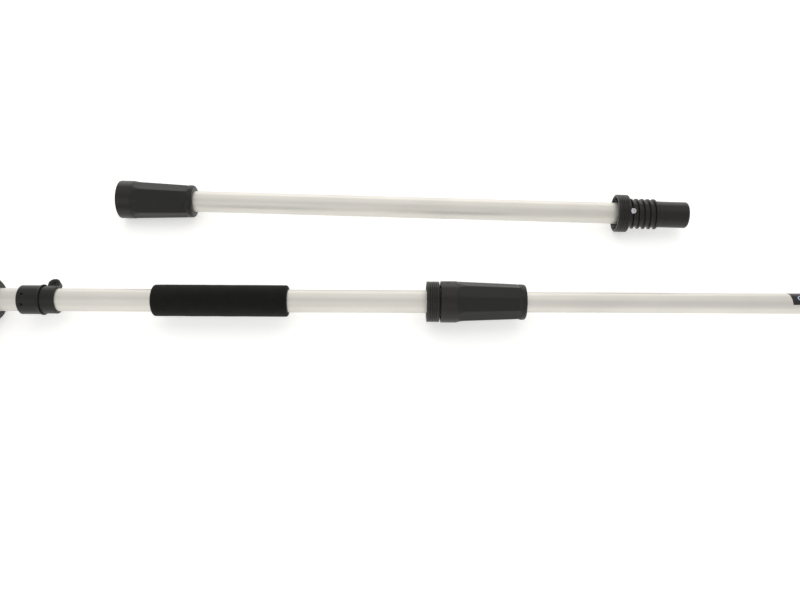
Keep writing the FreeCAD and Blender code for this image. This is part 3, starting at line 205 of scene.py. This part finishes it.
# Chain steel: oiled and brown-grey.
oiledChainSteel = surfaceFinish(
    "oiledChainSteel", ("#56544f", "#77746e"), grain=0.9, bump=0.02, roughness=(0.24, 0.44),
    edge="#a9a7a2", edgeRadius=0.2, Metallic=1.0)
chromedCutter = surfaceFinish(
    "chromedCutter", ("#a8a9ab", "#c6c7c9"), grain=0.7, bump=0.01, roughness=(0.12, 0.26),
    edge="#e5e5e6", edgeRadius=0.2, Metallic=1.0)
laminationSteel = surfaceFinish("laminationSteel", ("#5b5c60", "#6c6d71"), grain=0.5,
                                stretch=0.05, bump=0.03, roughness=(0.4, 0.55), Metallic=1.0)
enamelledCopper = surfaceFinish("enamelledCopper", ("#9c4a22", "#b9622f"), grain=0.6, bump=0.1,
                                roughness=(0.22, 0.4), Metallic=1.0, **{"Coat Weight": 0.6})
turnedBrass = surfaceFinish("turnedBrass", ("#b8944a", "#cba75b"), grain=0.3, stretch=0.1,
                            bump=0.01, roughness=(0.2, 0.35), edgeRadius=0.2, Metallic=1.0)
# Blow-moulded polyethylene tank: milky, lets a little light in.
milkyPolyethylene = surfaceFinish(
    "milkyPolyethylene", ("#cfc9b8", "#dcd7c8"), grain=2.5, bump=0.05, roughness=(0.34, 0.46),
    IOR=1.51, **{"Subsurface Weight": 0.35, "Subsurface Scale": 0.004})
print("finishes ready")

finishOfNodes = {
    anodisedAluminium: ["rear_tube", "front_tube"],
    anodisedExtension: ["extension_tube"],
    glassFilledNylon: ["harness_collar", "harness_eye"],
    # the plugs sit beside the pale tube and take the nylon tinted browner as a painted reflection
    # of it
    reflectionTintedNylon: ["rear_plug", "extension_plug"],
    nylonInner: ["collet", "thrust_ring", "tube_end_bush", "extension_core", "mains_inlet",
                 "switch_body", "cooling_fan"],
    stippledShell: ["handle_shell_right", "handle_shell_left", "housing_right", "housing_left",
                    "sprocket_cover"],
    colouredAbs: ["lock_off_button", "oil_cap", "trigger"],
    softRubber: ["grip_sleeve"],
    cableRubber: ["coiled_lead", "supply_wires"],
    brightZinc: ["rear_plug_screw", "extension_plug_screw", "trigger_pin", "tension_screw",
                 "bar_nut", "bar_stud", "lock_off_spring", "trigger_spring"],
    blackenedSteel: ["harness_screws", "handle_screws", "housing_screws", "spiked_bumper",
                     "sprocket_clip"],
    groundSteel: ["motor_bearings", "shaft_bearings", "armature_shaft", "sprocket_shaft"],
    cutGearSteel: ["bevel_gear", "bevel_pinion", "drive_sprocket", "tension_pin"],
    groundBarSteel: ["guide_bar"],
    laminationSteel: ["motor_stator", "armature_core"],
    enamelledCopper: ["motor_windings", "commutator"],
    turnedBrass: ["oil_pump", "inlet_pins", "brush_holders"],
    milkyPolyethylene: ["oil_tank"],
}
for finish, names in finishOfNodes.items():
    for name in names:
        mesh = nodes[name].data
        mesh.materials.clear()
        mesh.materials.append(finish)


# Mesh tools shared by the pieces.
def asMesh(name, shape):
    mesh = bpy.data.meshes.new(name)
    shape.to_mesh(mesh)
    shape.free()
    return mesh


def asObject(name, data):
    thing = bpy.data.objects.new(name, data)
    bpy.context.scene.collection.objects.link(thing)
    return thing


def addCopy(shape, template, place):
    copied = template.copy()
    copied.transform(place)
    shape.from_mesh(copied)
    bpy.data.meshes.remove(copied)


def finishPiece(name, shape, materials, body, stands=(), place=Matrix.Identity(4)):
    bmesh.ops.transform(shape, matrix=place, verts=shape.verts)
    mesh = asMesh(name, shape)
    for material in materials:
        mesh.materials.append(material)
    piece = asObject(name, mesh)
    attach(piece, body)
    if stands:
        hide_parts(*stands)
    return piece


def smoothShade(shape, limit=40):  # faces blend except across edges sharper than limit degrees
    for face in shape.faces:
        face.smooth = True
    for edge in shape.edges:
        if len(edge.link_faces) == 2 and edge.calc_face_angle(0) > math.radians(limit):
            edge.smooth = False


def lathe(corners, steps):  # spin a closed outline of (along, radius) corners round X
    shape = bmesh.new()
    ring = [shape.verts.new((x, 0, radius)) for x, radius in corners]
    edges = [shape.edges.new(pair) for pair in zip(ring, ring[1:] + ring[:1])]
    bmesh.ops.spin(shape, geom=ring + edges, cent=(0, 0, 0), axis=(1, 0, 0),
                   angle=2 * math.pi, steps=steps, use_merge=True)
    bmesh.ops.remove_doubles(shape, verts=shape.verts, dist=1e-6)
    bmesh.ops.recalc_face_normals(shape, faces=shape.faces)
    return shape


def arcCorners(centre, radius, start, end, steps):  # (along, radius) points on an arc, degrees
    return [(centre[0] + radius * math.cos(math.radians(a)),
             centre[1] + radius * math.sin(math.radians(a)))
            for a in (start + (end - start) * i / steps for i in range(steps + 1))]


def spotPlace(x, y, z):  # in mm
    return Matrix.Translation(Vector((x, y, z)) * millimetre)


def roundPlace(x, radius, angle):  # on a tube round X, in mm, angle in degrees from +Y to +Z
    turned = Matrix.Rotation(math.radians(angle - 90), 4, "X")
    return spotPlace(x, 0, 0) @ turned @ spotPlace(0, 0, radius)


def roundedBar(size, edge):  # size and edge rounding in mm
    shape = bmesh.new()
    bmesh.ops.create_cube(shape, size=millimetre)
    bmesh.ops.scale(shape, vec=size, verts=shape.verts)
    bmesh.ops.bevel(shape, geom=shape.edges[:], offset=edge * millimetre, affect="EDGES",
                    segments=2, profile=0.5, material=-1)
    return shape


# EVA foam ground to size: near black and quite matte, its cut cells showing as fine pits.
foamValues = {"cell": 1.1, "pit": 0.12, "dust": 14, "tubeGap": 0.1, "roundingShare": 0.6,
              "roundingSteps": 8, "steps": 128, "rows": 96, "skin": 1, "swell": 0.12,
              "wave": (60, 90, 90), "shadeLimit": 60}


def evaFoam():
    v = foamValues
    material, surface = startMaterial("evaFoam", {
        "Roughness": 0.95, "IOR": 1.45, "Specular IOR Level": 0.15, "Sheen Weight": 0.06,
        "Sheen Roughness": 0.6})
    spot = addNode(material, "TexCoord").outputs["Object"]
    scale = 1 / (v["cell"] * millimetre)
    cells = addNode(material, "TexVoronoi", {"Vector": spot, "Scale": scale}, feature="F1")
    depth = spread(material, cells.outputs["Distance"], 0.0, 1.0, 0.1, 0.8)
    dust = grainPattern(material, v["dust"], detail=4.0)
    joinTo(material, surface, "Base Color",
           blendColours(material, spread(material, dust, 0.0, 1.0), "#0f0f0d", "#151512"))
    relief = addNode(material, "Bump", {"Height": depth, "Distance": v["pit"] * millimetre})
    joinTo(material, surface, "Normal", relief.outputs["Normal"])
    return material


def buildFoamGrip():
    v = foamValues
    low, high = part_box("foam_grip")
    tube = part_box("rear_tube")[1].z
    outer, inner = high.z, tube + v["tubeGap"] * millimetre
    rounding = (outer - inner) * v["roundingShare"]
    length, rows = high.x - low.x, v["rows"]
    side = [(length * i / rows, outer) for i in range(1, rows)
            if rounding < length * i / rows < length - rounding]
    ends = [arcCorners((x, outer - rounding), rounding, start, start - 90, v["roundingSteps"])
            for x, start in ((rounding, 180), (length - rounding, 90))]
    shape = lathe([(0, inner)] + ends[0] + side + ends[1] + [(length, inner)], v["steps"])
    for vert in shape.verts:  # the ground surface waves a little
        reach = math.hypot(vert.co.y, vert.co.z)
        if reach > inner + v["skin"] * millimetre:
            wave = noise.noise(Vector([a * b for a, b in zip(vert.co, v["wave"])]))
            grow = 1 + wave * v["swell"] * millimetre / reach
            vert.co.y *= grow
            vert.co.z *= grow
    smoothShade(shape, v["shadeLimit"])
    grip = finishPiece("foamGrip", shape, [evaFoam()], "pole", ["foam_grip"],
                       Matrix.Translation((low.x, 0, 0)))


buildFoamGrip()
print("foam grip ready")


# Union nuts: a plain band, nine flat flutes down a taper, and a coarse thread inside.
nutValues = {"steps": 288, "flutes": 9, "fluteDepth": 1.2, "band": 19, "radius": 25.3,
             "taper": 3.8, "fluteStart": 20.5, "fluteRun": 9, "fluteEnd": 4.5, "fluteFade": 3,
             "mouth": 1.2, "bore": 20.4, "boreRow": 0.5, "pitch": 7.5, "threadTurns": 3.7,
             "threadRise": 2.7, "threadMiddle": 6.125, "threadHalf": 1.7, "threadFlank": 0.7,
             "endRounding": 2.6, "groove": 9, "grooveDepth": 0.35, "grooveHalf": 0.6,
             "bandEdge": ((1.0, 0), (0.3, 0.35), (0, 1.0)), "bandBack": ((0.4, 0.15), (0, 0)),
             "sideStart": 1.2, "sideDrop": 0.5, "wall": 3, "shadeLimit": 14}
lockNutValues = {"length": 103.5, "shoulder": 88.1, "hole": 13.4, "flat": 132.5, "roll": 29}
extensionNutValues = {"length": 100, "shoulder": 84.8, "hole": 14.6, "flat": 116.5, "roll": 0}


def nutOutline(length, shoulder, hole):  # (along, radius) in mm, from the bore out and back
    v = nutValues
    radius, small = v["radius"], v["radius"] - v["taper"]
    bore = [(v["mouth"] + i * v["boreRow"], v["bore"])
            for i in range(int((shoulder - v["mouth"]) / v["boreRow"]))]
    start, drop = v["band"] + v["sideStart"], v["sideDrop"]
    side = [(start + i, radius - drop - (v["taper"] - drop) * i / (length - start))
            for i in range(int(length - start - v["endRounding"]))]
    groove = length - v["groove"]  # a fine parting groove near the small end
    side = [(x, r - (v["grooveDepth"] if abs(x - groove) < v["grooveHalf"] else 0))
            for x, r in side]
    rounding = arcCorners((length - v["endRounding"], small - v["endRounding"]),
                          v["endRounding"], 0, 88, 6)
    band = [(v["band"] + x, radius - fall) for x, fall in v["bandBack"]]
    band += [(x, radius - fall) for x, fall in v["bandEdge"]]
    return (bore + [(shoulder, v["bore"]), (shoulder, hole), (length, hole)]
            + rounding + side[::-1] + band + [(0, v["bore"] + v["mouth"])])


def fluteReach(x, angle, radius, nut):  # radius left by the flat-bottomed flutes, in mm
    v = nutValues
    step = 2 * math.pi / v["flutes"]
    offset = (angle - math.radians(nut["flat"]) + step / 2) % step - step / 2
    ramp = min(1, max(0, (x - v["fluteStart"]) / v["fluteRun"]))
    fade = min(1, max(0, (nut["length"] - v["fluteEnd"] - x) / v["fluteFade"]))
    depth = v["fluteDepth"] * math.sqrt(ramp) * fade ** 2
    return min(radius, (radius - depth) / math.cos(offset))


def threadRidge(x, angle):  # height of the nut's inner ridge, in mm
    v = nutValues
    turn = (x - v["threadMiddle"]) / v["pitch"] - angle / (2 * math.pi)
    offset = abs((turn + 0.5) % 1 - 0.5) * v["pitch"]
    reach = min(1, max(0, (v["threadHalf"] - offset) / v["threadFlank"]))
    span = (x - v["threadMiddle"]) / v["pitch"]  # the ridge runs out over a quarter turn
    fade = min(1, max(0, (span + 0.3) * 4)) * min(1, max(0, (v["threadTurns"] - span) * 4))
    return v["threadRise"] * reach * fade


def buildNut(name, nut, body, stands, place):
    v = nutValues
    shape = lathe(nutOutline(nut["length"], nut["shoulder"], nut["hole"]), v["steps"])
    for vert in shape.verts:
        radius = math.hypot(vert.co.y, vert.co.z)
        angle = math.atan2(vert.co.z, vert.co.y)
        x = vert.co.x
        reach = radius
        fluted = v["fluteStart"] < x < nut["length"] - v["fluteEnd"]
        if math.isclose(radius, v["bore"], abs_tol=0.01) and x < nut["shoulder"] - 0.1:
            reach = radius - threadRidge(x, angle - math.radians(nut["roll"]))
        elif radius > nut["hole"] + v["wall"] and fluted:
            reach = fluteReach(x, angle, radius, nut)
        vert.co.y *= reach / radius
        vert.co.z *= reach / radius
    bmesh.ops.scale(shape, vec=(millimetre,) * 3, verts=shape.verts)
    smoothShade(shape, v["shadeLimit"])
    # the band takes the nylon tinted browner as a painted reflection of the pale tube beside it
    for face in shape.faces:
        face.material_index = int(face.calc_center_median().x < v["band"] * millimetre)
    finishPiece(name, shape, [glassFilledNylon, reflectionTintedNylon], body, [stands], place)


extensionMount = next(m for m in frame["record"]["mounts"] if m["name"] == "extension_socket")
extensionTurn = Vector(extensionMount["axis"]).to_track_quat("-X", "Z").to_matrix().to_4x4()
extensionPlace = Matrix.Translation(extensionMount["pos_m"]) @ extensionTurn
buildNut("lockNut", lockNutValues, "lock_nut", "lock_nut",
         Matrix.Translation((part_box("lock_nut")[0].x, 0, 0)))
buildNut("extensionNut", extensionNutValues, "extension_nut", "extension_nut", extensionPlace)

# A small pip on the lock nut's band that lines up with the plug when it is tight.
pipValues = {"along": 8.5, "angle": 57, "size": (3.2, 1.7, 0.5), "edge": 0.2}


def buildLockPip():
    v = pipValues
    shape = roundedBar(v["size"], v["edge"])
    smoothShade(shape)
    place = roundPlace(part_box("lock_nut")[0].x / millimetre + v["along"], nutValues["radius"],
                       v["angle"])
    finishPiece("lockPip", shape, [nylonInner], "lock_nut", place=place)


buildLockPip()
print("union nuts ready")

# Printed film label wrapped on the front tube: a blue oval with a pale rim on black.
labelValues = {"start": 525.5, "end": 640, "slant": 0.03, "low": 132, "high": 12, "lift": 0.15,
               "thickness": 0.1, "columns": 24, "rows": 36,
               "ovalAlong": 16, "ovalAcross": 8.6, "ovalLength": 11.5, "ovalWidth": 5.4,
               "ground": "#12110f", "inks": ((0.42, "#8db7e8"), (0.5, "#1f4f94"),
                                             (0.78, "#c9cdd6"), (0.88, "#12110f")),
               "middleInk": "#2c62a8"}


def printedFilm():
    material, surface = startMaterial("printedFilm", {"Roughness": 0.22, "IOR": 1.5})
    v = labelValues
    spot = addNode(material, "TexCoord").outputs["UV"]
    size = (1 / v["ovalLength"], 1 / v["ovalWidth"], 0)
    middle = (-v["ovalAlong"] * size[0], -v["ovalAcross"] * size[1], 0)
    placed = addNode(material, "Mapping", {"Vector": spot, "Location": middle,
                                           "Scale": [s / millimetre for s in size]})
    reach = addNode(material, "VectorMath", {0: placed.outputs["Vector"]}, operation="LENGTH")
    inks = addNode(material, "ValToRGB", {"Fac": reach.outputs["Value"]})
    inks.color_ramp.interpolation = "CONSTANT"
    inks.color_ramp.elements[0].color = hexColour(v["middleInk"])
    for share, colour in v["inks"]:
        inks.color_ramp.elements.new(share).color = hexColour(colour)
    inks.color_ramp.elements[-1].color = hexColour(v["ground"])
    joinTo(material, surface, "Base Color", inks.outputs["Color"])
    return material


def buildLabel():
    v = labelValues
    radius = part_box("front_tube")[1].z / millimetre + v["lift"]
    shape = bmesh.new()
    uvs = shape.loops.layers.uv.new("label")
    bmesh.ops.create_grid(shape, x_segments=v["columns"], y_segments=v["rows"], size=0.5)
    along, turn = v["end"] - v["start"], v["high"] - v["low"]
    flat = {}
    for vert in shape.verts:
        angle = math.radians(v["low"] + (vert.co.y + 0.5) * turn)
        x = v["start"] + (vert.co.x + 0.5) * along - v["slant"] * (v["low"] - math.degrees(angle))
        across = (math.radians(v["low"]) - angle) * radius
        flat[vert] = ((x - v["start"]) * millimetre, across * millimetre)
        vert.co = Vector((x, radius * math.cos(angle), radius * math.sin(angle))) * millimetre
    for face in shape.faces:
        for loop in face.loops:
            loop[uvs].uv = flat[loop.vert]
    bmesh.ops.recalc_face_normals(shape, faces=shape.faces)
    if shape.faces[:][0].normal.z < 0:
        bmesh.ops.reverse_faces(shape, faces=shape.faces)
    bmesh.ops.solidify(shape, geom=shape.faces[:], thickness=v["thickness"] * millimetre)
    smoothShade(shape)
    finishPiece("tubeLabel", shape, [printedFilm()], "front_pole")


buildLabel()
print("label ready")

# Low-profile saw chain: drive links down the middle, tie straps and cutters each side.
chainValues = {"rivets": 80, "reach": 24.3, "shoulder": 203, "noseCentre": 299, "nose": 15.25,
               "height": 36, "rivetRadius": 1.15, "rivetHalf": 1.95, "rivetSides": 10,
               "driveHalf": 0.65, "strapHeights": (0.7, 1.7), "topHeights": (-0.5, 2.8),
               "rakeFrom": 1.0, "rake": 0.45, "edge": 0.12, "shadeLimit": 30,
               "period": 8, "cutterSides": {1: 1, 5: -1}}


def chainRoute():  # clockwise round the bar, (x, y) in mm from the sprocket's axle
    v = chainValues
    nose = arcCorners((v["noseCentre"], 0), v["nose"], 85, -85, 40)
    rear = arcCorners((0, 0), v["reach"], -90, -270, 40)
    return [(v["shoulder"], v["reach"])] + nose + [(v["shoulder"], -v["reach"])] + rear


def evenSpots(route, count):  # that many points, spaced evenly round a closed route
    ends = route[1:] + route[:1]
    lengths = [math.dist(a, b) for a, b in zip(route, ends)]
    step, spots, walked, goal = sum(lengths) / count, [], 0.0, 0.0
    for first, second, length in zip(route, ends, lengths):
        while goal < walked + length and len(spots) < count:
            share = (goal - walked) / length
            spots.append(tuple(a + (b - a) * share for a, b in zip(first, second)))
            goal += step
        walked += length
    return spots, step


def plate(shape, corners, low, high):  # a flat link cut from plate, outline in mm
    ring = [shape.verts.new((x, y, low)) for x, y in corners]
    face = bmesh.ops.contextual_create(shape, geom=ring)["faces"]
    grown = bmesh.ops.extrude_face_region(shape, geom=face)["geom"]
    risen = [item for item in grown if isinstance(item, bmesh.types.BMVert)]
    bmesh.ops.translate(shape, vec=(0, 0, high - low), verts=risen)


def linkTemplate(name, shape, finish):
    bmesh.ops.recalc_face_normals(shape, faces=shape.faces)
    for face in shape.faces:
        face.material_index = finish
    return asMesh(name, shape)


def rivetMesh():
    v = chainValues
    shape = bmesh.new()
    bmesh.ops.create_cone(shape, cap_ends=True, segments=v["rivetSides"],
                          radius1=v["rivetRadius"], radius2=v["rivetRadius"],
                          depth=v["rivetHalf"] * 2)
    return linkTemplate("rivet", shape, 0)


def linkMesh(name, pitch, cutter=False, side=0):  # side 0 is the middle of the chain
    v = chainValues
    shape = bmesh.new()
    end = pitch + 2.1
    if side == 0:  # drive link with its tang inwards
        plate(shape, [(-1.9, -0.6), (1.4, -2.9), (4.4, -3.0), (end - 1.2, -1.6), (end, 0.3),
                      (pitch, 2.0), (0, 2.0), (-2.0, 0.8)], -v["driveHalf"], v["driveHalf"])
    elif not cutter:
        plate(shape, [(-2.1, -0.9), (-1.0, -2.0), (pitch + 1, -2.0), (end, -0.9), (end, 0.9),
                      (pitch + 1, 2.0), (-1.0, 2.0), (-2.1, 0.9)], *v["strapHeights"])
    else:  # side plate with its depth gauge, then the raked top plate
        plate(shape, [(-2.1, -0.9), (-1.0, -2.0), (pitch + 1, -2.0), (end, -0.9), (end, 1.6),
                      (pitch + 1.2, 2.7), (pitch - 0.4, 2.7), (pitch - 0.9, 0.9),
                      (pitch - 2.6, 0.9), (pitch - 3.1, 2.9), (-2.1, 2.3)], *v["strapHeights"])
        for vert in shape.verts:
            vert.co.z += max(0, vert.co.y - v["rakeFrom"]) * v["rake"]
        plate(shape, [(-2.1, 1.8), (pitch - 2.9, 2.4), (pitch - 2.5, 3.0), (-2.1, 2.5)],
              *v["topHeights"])
    if side < 0:
        bmesh.ops.scale(shape, vec=(1, 1, -1), verts=shape.verts)
    bmesh.ops.bevel(shape, geom=shape.edges[:], offset=v["edge"], affect="EDGES", segments=1,
                    profile=0.5, material=-1)
    return linkTemplate(name, shape, int(cutter))


def buildChain():
    v = chainValues
    spots, pitch = evenSpots(chainRoute(), v["rivets"])
    drive, rivet = linkMesh("driveLink", pitch), rivetMesh()
    straps = {side: linkMesh("tieStrap", pitch, side=side) for side in (-1, 1)}
    cutters = {side: linkMesh("cutter", pitch, cutter=True, side=side) for side in (-1, 1)}
    shape = bmesh.new()
    for index, spot in enumerate(spots):
        nearby = spots[(index + 1) % len(spots)]
        place = (Matrix.Translation((*spot, v["height"]))
                 @ Matrix.Rotation(math.atan2(nearby[1] - spot[1], nearby[0] - spot[0]), 4, "Z"))
        links = [drive]
        if index % 2:
            cutSide = v["cutterSides"].get(index % v["period"])
            links = [cutters[side] if side == cutSide else straps[side] for side in (-1, 1)]
        for link in [rivet] + links:
            addCopy(shape, link, place)
    bmesh.ops.scale(shape, vec=(millimetre,) * 3, verts=shape.verts)
    smoothShade(shape, v["shadeLimit"])
    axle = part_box("sprocket_shaft")
    axleSpot = Matrix.Translation(((axle[0].x + axle[1].x) / 2, 0, 0))
    finishPiece("sawChain", shape, [oiledChainSteel, chromedCutter], "bar",
                ["saw_chain"], axleSpot)


buildChain()
print("saw chain ready")


# Small moulded details: one template, repeated at each place of a set.
def buildSet(name, template, places, material, body):
    shape = bmesh.new()
    for place in places:
        addCopy(shape, template, place)
    smoothShade(shape)
    finishPiece(name, shape, [material], body)


# Motor housing: stiffening ribs over the motor and slots over its fan.
housingValues = {"radius": 29.5, "rib": (58, 1.8, 1.6), "ribEdge": 0.5,
                 "ribAngles": range(-30, 211, 20), "slot": (2.2, 9, 0.8), "slotEdge": 0.3,
                 "slotSink": 0.2, "slotRows": (0, 5, 10), "slotAngles": range(-24, 205, 24)}


def buildHousingDetails():
    v = housingValues
    stator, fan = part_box("motor_stator"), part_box("cooling_fan")
    middle = (stator[0].x + stator[1].x) / 2 / millimetre
    buildSet("motorRibs", asMesh("rib", roundedBar(v["rib"], v["ribEdge"])),
             [roundPlace(middle, v["radius"], angle) for angle in v["ribAngles"]],
             stippledShell, "front_pole")
    buildSet("fanSlots", asMesh("slot", roundedBar(v["slot"], v["slotEdge"])),
             [roundPlace(fan[0].x / millimetre + along, v["radius"] - v["slotSink"], angle)
              for along in v["slotRows"] for angle in v["slotAngles"]],
             nylonInner, "front_pole")


buildHousingDetails()

# Sprocket cover: ribs on its flat top.
coverValues = {"rib": (38, 2.2, 1.8), "edge": 0.6, "spacing": 9, "count": 5, "behindNut": 42}


def buildCoverRibs():
    v = coverValues
    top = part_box("sprocket_cover")[1].z / millimetre
    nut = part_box("bar_nut")
    x = (nut[0].x + nut[1].x) / 2 / millimetre - v["behindNut"]
    buildSet("coverRibs", asMesh("rib", roundedBar(v["rib"], v["edge"])),
             [spotPlace(x, (i - (v["count"] - 1) / 2) * v["spacing"], top)
              for i in range(v["count"])], stippledShell, "front_pole")


buildCoverRibs()

# Rivets that hold the nose sprocket, on both faces of the guide bar.
barValues = {"rivetRadius": 1.7, "rivetTop": 0.6, "rivetRise": 0.5, "rivetSides": 24,
             "spots": ((9, 0), (15, 4.2), (15, -4.2))}  # back from the tip, aside


def buildBarRivets():
    v = barValues
    low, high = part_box("guide_bar")
    shape = bmesh.new()
    bmesh.ops.create_cone(shape, cap_ends=True, segments=v["rivetSides"],
                          radius1=v["rivetRadius"] * millimetre,
                          radius2=v["rivetRadius"] * v["rivetTop"] * millimetre,
                          depth=v["rivetRise"] * millimetre)
    places = []
    for back, aside in v["spots"]:
        for face, way, turn in ((high.z, 1, 0), (low.z, -1, 180)):
            rise = v["rivetRise"] / 2 * way
            places.append(spotPlace(high.x / millimetre - back, aside, face / millimetre + rise)
                          @ Matrix.Rotation(math.radians(turn), 4, "X"))
    buildSet("barRivets", asMesh("barRivet", shape), places, brightZinc, "bar")


buildBarRivets()

# Grip sleeve: small raised lozenges moulded in staggered rows.
sleeveValues = {"lozenge": (4.4, 2.2, 1.0), "edge": 0.4, "rowStep": 7.0, "margin": 8,
                "angleStep": 15, "angles": range(-90, 91, 15)}


def buildGripLozenges():
    v = sleeveValues
    low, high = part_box("grip_sleeve")
    rows = int((high.x - low.x) / millimetre // v["rowStep"]) - 1
    buildSet("gripLozenges", asMesh("lozenge", roundedBar(v["lozenge"], v["edge"])),
             [roundPlace(low.x / millimetre + v["margin"] + row * v["rowStep"],
                         high.y / millimetre, angle + (row % 2) * v["angleStep"] / 2)
              for row in range(rows) for angle in v["angles"]],
             softRubber, "pole")


buildGripLozenges()
print("moulded details ready")


# Camera, light and floor.
viewValues = {"target": (0.052, 0.0016, 0.0011), "distance": 0.9146, "elevation": 55,
              "roll": 0.3, "lens": 33.75, "sensor": 36, "clip": (0.01, 50)}
# Each softbox has its place, its size in metres and its power in watts.
lightValues = {"world": 0.76, "worldColour": "#fbfbfa", "lampColour": "#fffdf8",
               "softboxes": {"overhead": ((0.1, 0.5, 1.8), (2.6, 1.2), 4.5),
                             "frontFill": ((-0.6, -1.6, 1.2), (1.8, 1.0), 3),
                             "backLow": ((0.1, 2.4, 0.9), (3.4, 1.2), 16)}}
floorValues = {"reach": 8, "gap": 0.0002, "glow": 0.5, "glowColour": "#ffffff", "fibre": 3.0,
               "paper": ("#dededc", "#e3e3e1")}


def buildCamera():
    v = viewValues
    camera = asObject("camera", bpy.data.cameras.new("camera"))
    camera.data.lens = v["lens"]
    camera.data.sensor_width = v["sensor"]
    camera.data.clip_start, camera.data.clip_end = v["clip"]
    lift = math.radians(v["elevation"])
    back = Vector((0, -math.cos(lift), math.sin(lift)))
    spot = Matrix.Translation(Vector(v["target"]) + back * v["distance"])
    facing = (-back).to_track_quat("-Z", "Y").to_matrix().to_4x4()
    camera.matrix_world = spot @ facing @ Matrix.Rotation(math.radians(v["roll"]), 4, "Z")
    bpy.context.scene.camera = camera


def buildSoftbox(name, spot, size, power):
    lamp = bpy.data.lights.new(name, "AREA")
    lamp.shape = "RECTANGLE"
    lamp.size, lamp.size_y = size
    lamp.energy = power
    lamp.color = hexColour(lightValues["lampColour"])[:3]
    facing = (-Vector(spot)).to_track_quat("-Z", "Y").to_matrix().to_4x4()
    asObject(name, lamp).matrix_world = Matrix.Translation(spot) @ facing


def buildWorld():
    world = bpy.data.worlds.new("studio")
    world.use_nodes = True
    background = world.node_tree.nodes["Background"]
    background.inputs["Color"].default_value = hexColour(lightValues["worldColour"])
    background.inputs["Strength"].default_value = lightValues["world"]
    bpy.context.scene.world = world
    bpy.context.scene.view_settings.view_transform = "Standard"


def buildFloor():  # studio paper lit from below as on a light table, so that shadows stay faint
    v = floorValues
    shape = bmesh.new()
    bmesh.ops.create_grid(shape, x_segments=2, y_segments=2, size=v["reach"])
    bmesh.ops.translate(shape, vec=(0, 0, cadBounds[0].z - v["gap"]), verts=shape.verts)
    mesh = asMesh("floor", shape)
    paper, surface = startMaterial("studioPaper", {
        "Roughness": 0.9, "Emission Color": hexColour(v["glowColour"]),
        "Emission Strength": v["glow"]})
    fibre = grainPattern(paper, v["fibre"])
    joinTo(paper, surface, "Base Color",
           blendColours(paper, spread(paper, fibre, 0.0, 1.0), *v["paper"]))
    mesh.materials.append(paper)
    asObject("floor", mesh)


buildCamera()
for lampName, (lampSpot, lampSize, lampPower) in lightValues["softboxes"].items():
    buildSoftbox(lampName, lampSpot, lampSize, lampPower)
buildWorld()
buildFloor()
print("stage ready")
